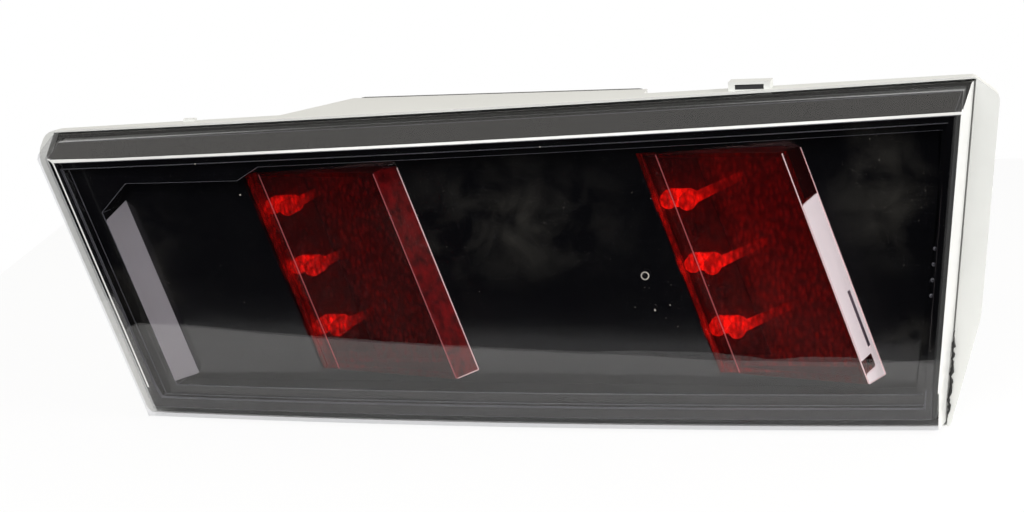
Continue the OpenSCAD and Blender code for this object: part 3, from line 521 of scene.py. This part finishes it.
def drawn_rod(name: str, path: list[Vector], radii_mm: list[float], sides: int = 12) -> Piece:
    """Draws a round piece along a path by extruding its end face step by step.

    Args:
        name: The new piece's name.
        path: The middle of the piece, point by point.
        radii_mm: Its radius at each point.
        sides: How many sides it has.

    Returns:
        The closed piece.
    """
    way = (path[1] - path[0] if (path[1] - path[0]).length > 0 else path[2] - path[0]).normalized()
    bpy.ops.mesh.primitive_circle_add(
        vertices=sides,
        radius=radii_mm[0] * MM,
        fill_type="NGON",
        location=path[0],
        rotation=way.to_track_quat("Z", "Y").to_euler(),
    )
    piece = bpy.context.object
    piece.name = name
    settle(piece)
    bpy.ops.object.mode_set(mode="EDIT")
    bpy.ops.mesh.select_mode(type="FACE")
    bpy.ops.mesh.select_all(action="SELECT")
    for i in range(1, len(path)):
        bpy.ops.mesh.extrude_region_move(TRANSFORM_OT_translate={"value": path[i] - path[i - 1]})
        share = radii_mm[i] / radii_mm[i - 1]
        if abs(share - 1) > 1e-6:
            bpy.ops.transform.resize(value=(share, share, share), center_override=path[i])
    bpy.ops.mesh.select_all(action="SELECT")
    bpy.ops.mesh.normals_make_consistent(inside=False)
    bpy.ops.object.mode_set(mode="OBJECT")
    bpy.ops.object.shade_smooth_by_angle(angle=math.radians(35))
    return piece


def turned(name: str, profile: list[tuple[float, float]], sides: int) -> Piece:
    """Turns a round piece about the depth axis.

    Args:
        name: The new piece's name.
        profile: Its depths in the stud frame and its radii there, in millimetres.
        sides: How many sides it has.

    Returns:
        The closed piece.
    """
    path = [Vector((0, depth, 0)) * MM for depth, _ in profile]
    return drawn_rod(name, path, [radius for _, radius in profile], sides)


@dataclass
class Workshop:
    """Gives solids and new pieces their finishes.

    Attributes:
        nodes: The lamp's solids by name.
        materials: The materials made so far.
    """

    nodes: dict[str, Piece]
    materials: dict[str, Material] = field(default_factory=dict)

    def material(self, finish: Finish) -> Material:
        """Returns a finish's material, built once."""
        if finish.name not in self.materials:
            self.materials[finish.name] = finish.build()
        return self.materials[finish.name]

    def dress(self, finish: Finish, *names: str) -> None:
        """Gives solids their finish, with their shapes as they are."""
        for name in names:
            data = self.nodes[name].data
            data.materials.clear()
            data.materials.append(self.material(finish))
            LOG.info("solid %s: %s", name, finish.name)

    def soften(
        self,
        node: str,
        finish: Finish,
        slot: str,
        edge_mm: float,
        steps: int = 2,
        edge_angle: float = 28.0,
        painted_edge_finish: Finish | None = None,
    ) -> Piece:
        """Replaces a solid by its copy, with its edges rounded as a mould would.

        Args:
            node: The solid's name.
            finish: Its finish.
            slot: The record's slot that the finish comes from.
            edge_mm: Width of the rounding.
            steps: Faces across the rounding.
            edge_angle: The flattest edge that is rounded, in degrees.
            painted_edge_finish: The rounded edges' own finish, a painted highlight, with which short faces
                don't hold the rounding back.

        Returns:
            The new piece.
        """
        piece = added(node + "_moulded", self.nodes[node].data.copy())
        piece.data.materials.clear()
        for each in filter(None, (finish, painted_edge_finish)):
            piece.data.materials.append(self.material(each))
        only(piece)
        bpy.ops.object.mode_set(mode="EDIT")
        bpy.ops.mesh.select_all(action="SELECT")
        bpy.ops.mesh.remove_doubles(threshold=0.002 * MM)
        bpy.ops.mesh.dissolve_limited(angle_limit=math.radians(0.2))
        bpy.ops.object.mode_set(mode="OBJECT")
        bpy.ops.object.shade_smooth()
        if edge_mm:
            bevel = piece.modifiers.new("edge", "BEVEL")
            bevel.width = edge_mm * MM
            bevel.segments = steps
            bevel.limit_method = "ANGLE"
            bevel.angle_limit = math.radians(edge_angle)
            bevel.use_clamp_overlap = painted_edge_finish is None
            # The rounding's faces take the last finish, the painted highlight when there is one.
            bevel.material = len(piece.data.materials) - 1
            bpy.ops.object.modifier_apply(modifier=bevel.name)
        bpy.ops.object.shade_smooth_by_angle(angle=math.radians(26))
        even = piece.modifiers.new("even", "WEIGHTED_NORMAL")
        even.mode = "FACE_AREA"
        even.weight = 100
        even.keep_sharp = True
        bpy.ops.object.modifier_apply(modifier=even.name)
        return self.fit(piece, finish, slot, node)

    def fit(self, piece: Piece, finish: Finish, slot: str, *nodes: str) -> Piece:
        """Dresses a piece, fixes it to the lamp, hides the solids it replaces and reports it.

        Args:
            piece: The piece, with its place in its mesh.
            finish: Its finish, for a piece that has none yet.
            slot: The record's slot that the finish comes from; not used.
            nodes: The solids that it replaces, if any.

        Returns:
            The same piece.
        """
        if not piece.data.materials:
            piece.data.materials.append(self.material(finish))
        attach(piece, ROOT)
        if nodes:
            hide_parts(*nodes)
        LOG.info("piece %s: %d faces", piece.name, len(piece.data.polygons))
        return piece


@dataclass
class LensGroup:
    """The outer lens with its seal, the sealant that shows beside it, and the dust on it.

    Attributes:
        bead: The sealant's path at the lower inboard corner: along the lamp, depth and height.
        bead_r: Radius of the bead.
        bead_steps: Steps in which the bead is drawn.
        specks: Places of the larger specks, along the lamp and up it.
        speck_sizes: Their smallest and largest radius.
        dust_fields: Middle, reach and number of each field of finer dust.
        dust_sizes: Its smallest and largest radius.
        dust_t: Half the thickness of a speck.
        ring: Place of the small ring mark, along the lamp and up it.
        ring_r: Radius of the ring.
        ring_wire: Radius of its rim, which is pressed flat.
        edge_low: Height above which the front face's edges take the painted highlight.
        edge_d: How far behind the front face its edges reach.
        end_wall_x: Place beyond which a wall that faces inboard is the end wall.
        fillet_tilt: How far the faces of the fillet below the sloping strip turn upwards.
    """

    bead: tuple[tuple[float, float, float], ...] = ((216.6, 22.2, 44.0), (213.2, 22.0, 3.0))
    bead_r: float = 0.6
    bead_steps: int = 34
    specks: tuple[tuple[float, float], ...] = (
        (-138.2, 130.0), (-115.8, 114.7), (34.5, 135.1), (90.9, 60.8), (83.9, 58.5)
    )
    speck_sizes: tuple[float, float] = (0.35, 0.55)
    dust_fields: tuple[tuple[float, float, float, float, int], ...] = (
        (30.0, 98.9, 60.0, 30.0, 26),
        (189.3, 107.2, 22.0, 44.0, 34),
        (197.1, 42.7, 9.0, 12.0, 6),
        (86.0, 62.0, 22.0, 26.0, 9),
        (-150.0, 60.0, 44.0, 44.0, 14),
    )
    dust_sizes: tuple[float, float] = (0.08, 0.2)
    dust_t: float = 0.07
    ring: tuple[float, float] = (80.0, 74.6)
    ring_r: float = 1.7
    ring_wire: float = 0.28
    edge_low: float = 12.0
    edge_d: float = 2.2
    end_wall_x: float = 195.0
    fillet_tilt: tuple[float, float] = (0.15, 0.5)

    def build(self, shop: Workshop) -> None:
        """Builds the lens group."""
        # The lens's rounded edges take a pale glowing finish: a painted highlight.
        lens = shop.soften("outer_lens", LENS_ACRYLIC, "clear_lens", 0.5, 3, 16.0, LENS_EDGE_HIGHLIGHT)
        self.paint_edge_highlight(lens)
        self.dress_seal(shop)
        shop.fit(self.build_bead(), SEALANT, "black_seal")
        shop.fit(self.build_dust(), DUST, "clear_lens")

    def at_end(self, face: bpy.types.MeshPolygon) -> bool:
        """Tells whether a face is part of the inboard end wall."""
        return face.normal.x > 0.9 and face.center.x / MM + STUD_MIDDLE[0] > self.end_wall_x

    def paint_edge_highlight(self, lens: Piece) -> None:
        """Keeps the painted highlight to the outside edges, the fillet below the sloping strip and the
        inboard end wall, and gives the rest the clear finish.
        """
        flattest, steepest = self.fillet_tilt
        for face in lens.data.polygons:
            place = face.center / MM + Vector(STUD_MIDDLE)
            at_front = place.y < face_depth(place.x) + self.edge_d and place.z > self.edge_low
            fillet = face.normal.y < -0.6 and flattest < face.normal.z < steepest
            fold = face.material_index == 1 or fillet
            face.material_index = 1 if (fold and at_front) or self.at_end(face) else 0

    def dress_seal(self, shop: Workshop) -> None:
        """Gives the seal its black, but for its inboard end, which takes the lens edge's painted highlight in
        place of light from the lens wall.
        """
        shop.dress(SEALANT, "lens_seal")
        seal = shop.nodes["lens_seal"].data
        # The seal's inboard end takes the lens edge's painted highlight.
        seal.materials.append(shop.material(LENS_EDGE_HIGHLIGHT))
        for face in seal.polygons:
            face.material_index = 1 if self.at_end(face) else 0

    def build_bead(self) -> Piece:
        """Draws the lumpy bead of sealant that was pressed out beside the lens."""
        chance = random.Random(7)
        start, end = (at(*point) for point in self.bead)
        path, radii = [], []
        for i in range(self.bead_steps + 1):
            share = i / self.bead_steps
            wander = Vector((chance.uniform(-0.5, 0.4), chance.uniform(-0.3, 0.1), 0.0)) * MM
            path.append(start.lerp(end, share) + wander)
            taper = min(1.0, 0.25 + 4 * share, 0.25 + 6 * (1 - share))
            radii.append(self.bead_r * taper * chance.uniform(0.5, 1.5))
        return drawn_rod("sealant_bead", path, radii, 10)

    def on_face(self, along: float, height: float) -> Vector:
        """Returns a point on the front face."""
        return at(along, face_depth(along) + 0.05, height)

    def build_dust(self) -> Piece:
        """Lays specks, fields of finer dust and one small ring on the front face."""
        chance = random.Random(3)
        bpy.ops.mesh.primitive_ico_sphere_add(subdivisions=1, radius=MM)
        speck = bpy.context.object
        speck.name = "speck"
        spots = [(self.on_face(*place), chance.uniform(*self.speck_sizes)) for place in self.specks]
        for x, z, reach_x, reach_z, count in self.dust_fields:
            for _ in range(count):
                place = self.on_face(x + chance.gauss(0, reach_x / 2), z + chance.gauss(0, reach_z / 2))
                spots.append((place, chance.uniform(*self.dust_sizes)))
        pieces = []
        for place, size in spots:
            turn = Matrix.Rotation(chance.uniform(0, math.pi), 4, "Y")
            width, height = size * chance.uniform(0.6, 1.6), size * chance.uniform(0.5, 1.0)
            copy = copied(speck, Vector())
            shape = Matrix.Diagonal((width, self.dust_t, height, 1.0))
            copy.data.transform(Matrix.Translation(place) @ turn @ shape)
            pieces.append(copy)
        bpy.data.objects.remove(speck)
        bpy.ops.mesh.primitive_torus_add(
            major_segments=28,
            minor_segments=6,
            major_radius=self.ring_r * MM,
            minor_radius=self.ring_wire * MM,
            rotation=(math.pi / 2, 0.0, 0.0),
        )
        mark = settle(bpy.context.object)
        flat = Matrix.Diagonal((1.0, 0.25, 1.0, 1.0))
        mark.data.transform(Matrix.Translation(self.on_face(*self.ring)) @ flat)
        return joined("face_dust", pieces + [mark])


@dataclass
class LightBar:
    """One leaning light bar with its lens, blade, optics, tray and board.

    Attributes:
        name: Which bar it is.
        ridge: Place of its ridge at the studs' middle height.
        ramp: Width of its ramp.
        lens: Finish of its lens.
        blade: Finish of the blade beside the ridge.
        blade_slot: The record's slot for the blade.
        fan_glow: Strength of the painted light at the far end of the fans.
        ridge_glint: Finish of the painted glint along the ridge.
        lip: Width of the lip beside the ramp.
        foot: Width of the blade's foot.
        ridge_d: Depth of the ridge.
        crease_d: Depth of the crease.
        foot_d: Depth of the blade's foot.
        low: Height at which the bar starts.
        drop: Distance from the top edge down to the bar.
        face_h: Height of the front face at the middle.
        edge_r: Radius of the moulded edges.
        inset: How far the lip's edge lies inside its rim.
        lip_drop: How much deeper the lip's rim lies than the crease.
        inside_d: Distance behind the ridge at which the blade's inner back wall lies, which takes the painted
            shade.
    """

    name: str
    ridge: float
    ramp: float
    lens: Finish
    blade: Finish
    blade_slot: str
    fan_glow: float
    ridge_glint: Finish
    lip: float = 9.0
    foot: float = 6.5
    ridge_d: float = 12.0
    crease_d: float = 27.0
    foot_d: float = 28.0
    low: float = 21.0
    drop: float = 14.0
    face_h: float = 138.4
    edge_r: float = 0.3
    inset: float = 1.5
    lip_drop: float = 6.0
    inside_d: float = 8.0

    def point(self, across: float, depth: float, height: float) -> Vector:
        """Returns a point beside the ridge at a height."""
        lean = (height - STUD_MIDDLE[2]) * math.tan(BAR_LEAN)
        return at(self.ridge + across / math.cos(BAR_LEAN) - lean, depth, height)

    def top(self, across: float) -> float:
        """Returns the height at which the bar ends, beside the ridge."""
        along = self.ridge + across
        return self.face_h + along * TOP_SLOPE - self.drop - TOP_SLOPE * self.face_h * math.tan(BAR_LEAN) / 2

    def build(self, shop: Workshop) -> None:
        """Builds the bar."""
        shop.soften(self.name + "_bar_lens", self.lens, "red_lens", 0.3)
        blade = shop.soften(self.name + "_blade", self.blade, self.blade_slot, 0.35)
        # The blade's recessed back wall is drawn dark: painted shade.
        blade.data.materials.append(shop.material(BLADE_RECESS_SHADE))
        for face in blade.data.polygons:
            depth = face.center.y / MM + STUD_MIDDLE[1] - face_depth(self.ridge)
            face.material_index = 1 if face.normal.y < -0.7 and depth > self.ridge_d + self.inside_d else 0
        guide = PaintedLightGuide(
            self.name + "_painted_light_guide",
            "FFE6DC",
            0.1,
            ior=1.58,
            crease_mm=self.ridge - STUD_MIDDLE[0] - self.ramp / math.cos(BAR_LEAN),
            dim=self.fan_glow,
        )
        finishes = (guide, TRAY_PLASTIC, BOARD_PAINTED_SHADE, LED_PACKAGE, CABLE_PVC)
        for finish, kind in zip(finishes, ("collimators", "light_box", "led_board", "leds", "lead")):
            shop.dress(finish, f"{self.name}_{kind}")
        # Thin rods in pale glowing finishes along the ridge, foot, lower end and lip: painted glints.
        shop.fit(self.build_lines((0.0,), "ridge_glint"), self.ridge_glint, "red_lens")
        foot = joined(self.name + "_foot_edge", [self.build_lines((self.foot,), "foot"), self.build_rim()])
        shop.fit(foot, PALE_EDGE_GLINT, "red_lens")
        lip = (-self.ramp - self.lip + self.inset, -self.ramp)
        shop.fit(self.build_lines(lip, "lip_glints"), DIM_EDGE_GLINT, "red_lens")

    def edge_depth(self, across: float) -> float:
        """Returns the depth of the bar's surface beside the ridge."""
        if across > 0:
            return self.foot_d - self.edge_r
        if across >= -self.ramp:
            return self.ridge_d + (self.crease_d - self.ridge_d) * -across / self.ramp
        return self.crease_d + self.lip_drop * (-across - self.ramp) / self.lip

    def build_lines(self, places: tuple[float, ...], kind: str) -> Piece:
        """Draws thin rods along the bar's edges that carry its painted glints.

        Args:
            places: Where the edges run, across from the ridge.
            kind: Name of these edges.

        Returns:
            The joined edges.
        """
        rods = []
        for across in places:
            depth = self.edge_depth(across)
            ends = (self.low + 2 * self.edge_r, self.top(across) - 2 * self.edge_r)
            path = [self.point(across, depth, height) for height in ends]
            rods.append(drawn_rod("edge", path, [self.edge_r, self.edge_r], 8))
        return joined(f"{self.name}_{kind}", rods)

    def build_rim(self) -> Piece:
        """Draws a rod for the painted glint on the edge of the blade's lower end, from its ridge to its foot.
        """
        low = self.low + 0.4
        path = [self.point(0.3, self.ridge_d + 0.6, low), self.point(self.foot - 0.2, self.foot_d - 0.4, low)]
        return drawn_rod("rim", path, [self.edge_r, self.edge_r], 8)


@dataclass
class TrimGroup:
    """The black bezel and panel, the outboard blade, and the screws that hold them.

    Attributes:
        dull_x: Place beyond which the bezel's upright edges go without the painted highlight, as they face
            the dark side of the room.
        long_edge: Smallest face of a long edge, in square millimetres.
    """

    dull_x: float = 190.0
    long_edge: float = 3.0

    def build(self, shop: Workshop) -> None:
        """Builds the trim."""
        # The bezel's rounded edges take a grey glowing finish: a painted highlight.
        bezel = shop.soften("bezel", BEZEL_PLASTIC, "gloss_black", 0.3, painted_edge_finish=BEZEL_EDGE_HIGHLIGHT)
        for face in bezel.data.polygons:
            along = face.center.x / MM + STUD_MIDDLE[0]
            upright = abs(face.normal.x) > abs(face.normal.z) and face.area > self.long_edge * MM**2
            if upright and along > self.dull_x:
                face.material_index = 0
        shop.soften("back_panel", PANEL_PLASTIC, "gloss_black", 0.0)
        shop.soften("outboard_blade", SATIN_METAL, "satin_silver", 0.5)
        shop.dress(ZINC_STEEL, "bezel_screws", "panel_screws", "light_box_screws", "led_board_screws")


@dataclass
class HousingGroup:
    """The pale housing with what is fixed to its outside.

    Attributes:
        stud_spacing: Half the studs' spacing along the lamp and up it.
        stud_r: Radius of a stud over its thread.
        stud_len: Length of a stud beyond the mounting face.
        neck_r: Radius of its neck in the boss.
        head_r: Radius of its head inside the shell.
        inside: Depth of the shell's inside, measured from the mounting face.
        head_t: Thickness of the head.
        collar: Where the plain part beyond the mounting face ends, and where the thread's core starts.
        lead_in: Length of the chamfer at its tip.
        lead_r: How much thinner the tip is than the core.
        pitch: Pitch of the thread.
        thread_d: Depth of the thread.
        thread_r: Radius of the three-sided section that is wound up as its ridge.
        thread_start: Where the ridge starts beyond the mounting face.
        thread_less: How much shorter than the stud the ridge is.
    """

    stud_spacing: tuple[float, float] = (140.0, 38.0)
    stud_r: float = 3.0
    stud_len: float = 24.0
    neck_r: float = 3.8
    head_r: float = 8.0
    inside: float = -11.5
    head_t: float = 2.0
    collar: tuple[float, float] = (1.2, 1.6)
    lead_in: float = 1.2
    lead_r: float = 0.8
    pitch: float = 1.0
    thread_d: float = 0.45
    thread_r: float = 0.52
    thread_start: float = 1.8
    thread_less: float = 3.4

    def build(self, shop: Workshop) -> None:
        """Builds the housing and its fittings."""
        shop.soften("housing", SHELL_PLASTIC, "pale_housing", 0.35)
        shop.soften("side_locator", SHELL_PLASTIC, "pale_housing", 0.3)
        shop.soften("vent_caps", DARK_PLASTIC, "dark_plastic", 0.8, 3)
        shop.soften("body_gasket", FOAM, "foam", 0.6)
        shop.dress(DARK_PLASTIC, "locating_clip")
        shop.fit(self.build_studs(), ZINC_STEEL, "zinc", "mounting_studs")

    def build_stud(self) -> Piece:
        """Turns one stud with its head, neck, rolled thread and lead-in."""
        core = self.stud_r - self.thread_d
        profile = [
            (self.inside - self.head_t, self.head_r),
            (self.inside, self.head_r),
            (self.inside, self.neck_r),
            (0.0, self.neck_r),
            (0.0, self.stud_r),
            (self.collar[0], self.stud_r),
            (self.collar[1], core),
            (self.stud_len - self.lead_in, core),
            (self.stud_len, core - self.lead_r),
        ]
        shank = turned("stud", profile, 32)
        bpy.ops.mesh.primitive_circle_add(
            vertices=3,
            radius=self.thread_r * MM,
            location=(core * MM, 0.0, 0.0),
            rotation=(math.pi / 2, 0.0, 0.0),
        )
        thread = settle(bpy.context.object)
        wound = thread.modifiers.new("thread", "SCREW")
        wound.axis = "Z"
        wound.screw_offset = self.pitch * MM
        wound.iterations = int((self.stud_len - self.thread_less) / self.pitch)
        wound.steps = wound.render_steps = 20
        bpy.ops.object.modifier_apply(modifier=wound.name)
        thread.rotation_euler = (-math.pi / 2, 0.0, 0.0)
        thread.location = (0.0, self.thread_start * MM, 0.0)
        settle(thread)
        bpy.ops.object.mode_set(mode="EDIT")
        bpy.ops.mesh.select_all(action="SELECT")
        bpy.ops.mesh.fill_holes(sides=4)
        bpy.ops.mesh.normals_make_consistent(inside=False)
        bpy.ops.object.mode_set(mode="OBJECT")
        return joined("stud", [shank, thread])

    def build_studs(self) -> Piece:
        """Sets the four studs in their places."""
        stud = self.build_stud()
        x, z = self.stud_spacing
        studs = [copied(stud, Vector((i * x, 0.0, k * z)) * MM) for i in (-1, 1) for k in (-1, 1)]
        bpy.data.objects.remove(stud)
        return joined("threaded_studs", studs)


@dataclass
class RearGroup:
    """The rear cover with its seal, screws and socket, and the control board behind it.

    Attributes:
        cover_back: Depth of the cover's outer face.
        screw_x: Places of the cover's screws along the lamp.
        screw_z: Their heights.
        head_r: Radius of a screw's head.
        head_t: Thickness of the head.
        shank_r: Radius of its shank.
        tip: Depth of its tip.
        recess_d: Depth of the recess in its head.
        recess_in: How far inside the head's flat face the recess starts.
        lobe: How far the recess's lobes stand out, as a share of its radius.
    """

    cover_back: float = 100.1
    screw_x: tuple[float, float] = (-81.0, 61.0)
    screw_z: tuple[float, float] = (49.0, 141.6)
    head_r: float = 2.9
    head_t: float = 1.8
    shank_r: float = 1.5
    tip: float = 88.0
    recess_d: float = 1.1
    recess_in: float = 0.45
    lobe: float = 0.16

    def build(self, shop: Workshop) -> None:
        """Builds the rear group."""
        shop.soften("rear_cover", DARK_PLASTIC, "dark_plastic", 0.5)
        shop.soften("socket_shell", DARK_PLASTIC, "dark_plastic", 0.3)
        shop.dress(SEAL_RUBBER, "cover_seal")
        shop.dress(CONTACT_BRASS, "socket_pins")
        shop.dress(GREEN_RESIST, "control_board")
        shop.dress(CHIP_RESIN, "control_parts")
        shop.dress(ZINC_STEEL, "board_screws")
        shop.fit(self.build_screws(), ZINC_STEEL, "zinc", "cover_screws")

    def build_screw(self) -> Piece:
        """Turns one pan-head screw and sinks a six-lobed recess in its head."""
        end = self.cover_back + self.head_t - STUD_MIDDLE[1]
        seat, tip = self.cover_back - STUD_MIDDLE[1], self.tip - STUD_MIDDLE[1]
        profile = [
            (tip, 0.5),
            (tip + 1.6, self.shank_r),
            (seat, self.shank_r),
            (seat, self.head_r),
            (end - 0.7, self.head_r),
            (end - 0.2, self.head_r - 0.35),
            (end, self.head_r - 0.9),
        ]
        screw = turned("screw", profile, 24)
        face = max(screw.data.polygons, key=lambda polygon: (polygon.center.y, polygon.area))
        for polygon in screw.data.polygons:
            polygon.select = polygon.index == face.index
        bpy.ops.object.mode_set(mode="EDIT")
        bpy.ops.mesh.select_mode(type="FACE")
        bpy.ops.mesh.inset(thickness=self.recess_in * MM)
        bpy.ops.object.mode_set(mode="OBJECT")
        for vertex in screw.data.vertices:
            radius = math.hypot(vertex.co.x, vertex.co.z)
            if vertex.select and radius > 0:
                wave = 1 + self.lobe * math.cos(6 * math.atan2(vertex.co.z, vertex.co.x))
                vertex.co.x *= wave * 0.95
                vertex.co.z *= wave * 0.95
        bpy.ops.object.mode_set(mode="EDIT")
        sink = Vector((0, -self.recess_d, 0)) * MM
        bpy.ops.mesh.extrude_region_move(TRANSFORM_OT_translate={"value": sink})
        floor = (0.0, (end - self.recess_d) * MM, 0.0)
        bpy.ops.transform.resize(value=(0.92, 1.0, 0.92), center_override=floor)
        bpy.ops.object.mode_set(mode="OBJECT")
        return screw

    def build_screws(self) -> Piece:
        """Sets the cover's four screws."""
        screw = self.build_screw()
        screws = [
            copied(screw, Vector((x - STUD_MIDDLE[0], 0.0, z - STUD_MIDDLE[2])) * MM)
            for x in self.screw_x
            for z in self.screw_z
        ]
        bpy.data.objects.remove(screw)
        return joined("recessed_screws", screws)


@dataclass
class Studio:
    """Pale sheet, plain soft light and dark room in front of the lamp.

    Attributes:
        floor_z: Height of the sheet.
        sheet: Corners of the sheet, left and right, first in front, where its edge shows in the lens.
        sheet_white: How white the sheet is drawn.
        pale: Colour of the room round the lamp.
        dark: Colour of the room where the viewer stands.
    """

    floor_z: float = -71.5
    sheet: tuple[tuple[float, float], ...] = ((-345, -223), (700, -120), (-600, 700), (700, 700))
    sheet_white: float = 0.9
    pale: str = "D8D5CF"
    dark: str = "18181C"

    def build(self) -> None:
        """Builds the sheet, the room and the lamps."""
        self.build_sheet()
        self.build_room()
        self.add_lamp("key", (-150, -800, 440), (760, 420), watts=5.0)
        self.add_lamp("right_fill", (900, -250, 320), (500, 500), watts=5.4)

    def build_sheet(self) -> None:
        """Lays the pale sheet that the lamp stands on."""
        bpy.ops.mesh.primitive_plane_add(size=2.0)
        sheet = bpy.context.object
        sheet.name = "sheet"
        for vertex in sheet.data.vertices:
            x, y = self.sheet[(vertex.co.x > 0) + 2 * (vertex.co.y > 0)]
            vertex.co = Vector((x, y, self.floor_z)) * MM
        material = bpy.data.materials.new("pale_paper")
        tree = emptied(material)
        paper = put(tree, "BsdfDiffuse", {"Color": linear("F4F4F4")})
        white = put(tree, "Emission", {"Color": WHITE, "Strength": 1.0})
        seen = put(tree, "LightPath").outputs["Is Camera Ray"]
        surface = mixed(tree, maths(tree, "MULTIPLY", seen, self.sheet_white), paper, white)
        put(tree, "OutputMaterial", {"Surface": surface.outputs[0]})
        sheet.data.materials.append(material)

    def build_room(self) -> None:
        """Makes the room: white round the lamp and dark where the viewer stands."""
        bpy.context.scene.world = bpy.data.worlds.new("room")
        tree = emptied(bpy.context.scene.world)
        way = put(tree, "TexCoord").outputs["Generated"]
        axes = put(tree, "SeparateXYZ", {0: way}).outputs
        front = ranged(tree, axes["Y"], -0.3, -0.6)
        left = ranged(tree, axes["X"], -0.55, -0.75)
        low = ranged(tree, axes["Z"], 0.5, 0.3)
        unlit = maths(tree, "MULTIPLY", maths(tree, "MAXIMUM", front, left), low)
        colour = tinted(tree, unlit, linear(self.pale), linear(self.dark))
        room = put(tree, "Background", {"Color": colour, "Strength": 1.0})
        white = put(tree, "Background", {"Color": WHITE, "Strength": 1.0})
        seen = put(tree, "LightPath").outputs["Is Camera Ray"]
        surface = mixed(tree, seen, room, white)
        put(tree, "OutputWorld", {"Surface": surface.outputs[0]})

    def add_lamp(self, name: str, place_mm: tuple, size_mm: tuple, watts: float) -> None:
        """Hangs one soft lamp, aimed at the studs' middle.

        Args:
            name: The lamp's name.
            place_mm: Where it hangs.
            size_mm: Its width and height.
            watts: Its power.
        """
        data = bpy.data.lights.new(name, "AREA")
        data.shape = "RECTANGLE"
        data.size, data.size_y = size_mm[0] * MM, size_mm[1] * MM
        data.energy = watts
        lamp = added(name, data)
        lamp.location = Vector(place_mm) * MM
        lamp.rotation_euler = (-lamp.location).to_track_quat("-Z", "Y").to_euler()


@dataclass
class PhotoCamera:
    """The photograph's viewpoint.

    Attributes:
        place_mm: Where the camera stands.
        azimuth: How far it stands to the inboard side, in degrees.
        elevation: How far above the lamp, in degrees.
        roll: How far it is turned, in degrees.
        focal_px: Its focal length in pixels of the photograph.
    """

    place_mm: tuple[float, float, float] = (197.5, -813.7, 178.1)
    azimuth: float = 15.0
    elevation: float = 12.0
    roll: float = 3.55
    focal_px: float = 1700.0

    def build(self) -> None:
        """Sets up the camera and makes it the scene's own."""
        a, e, r = (math.radians(v) for v in (self.azimuth, self.elevation, self.roll))
        back = Vector((math.sin(a) * math.cos(e), -math.cos(a) * math.cos(e), math.sin(e)))
        level = (-back).cross(Vector((0, 0, 1))).normalized()
        up = level.cross(-back)
        right = level * math.cos(r) - up * math.sin(r)
        up = level * math.sin(r) + up * math.cos(r)
        data = bpy.data.cameras.new("photo_camera")
        data.sensor_width = 36.0
        data.lens = data.sensor_width * self.focal_px / IMAGE_WIDTH
        data.clip_start = 0.01
        camera = added("photo_camera", data)
        turn = Matrix((right, up, back)).transposed().to_4x4()
        camera.matrix_world = Matrix.Translation(Vector(self.place_mm) * MM) @ turn
        bpy.context.scene.camera = camera


def main() -> None:
    """Builds the scene in order and reports each piece."""
    logging.basicConfig(level=logging.INFO, format="%(message)s")
    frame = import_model()
    bpy.context.scene.view_settings.view_transform = "Standard"
    PhotoCamera().build()
    Studio().build()
    shop = Workshop(frame["nodes"])
    LensGroup().build(shop)
    HousingGroup().build(shop)
    TrimGroup().build(shop)
    LightBar("mid", -33.0, 62.0, DEEP_RED_LENS, RED_PLASTIC, "red_blade", 0.12, DIM_EDGE_GLINT).build(shop)
    LightBar("inboard", 162.0, 57.0, RED_LENS, PAINTED_BRIGHT_SILVER, "bright_silver", 0.4, PALE_EDGE_GLINT).build(shop)
    RearGroup().build(shop)


if __name__ == "__main__":
    main()
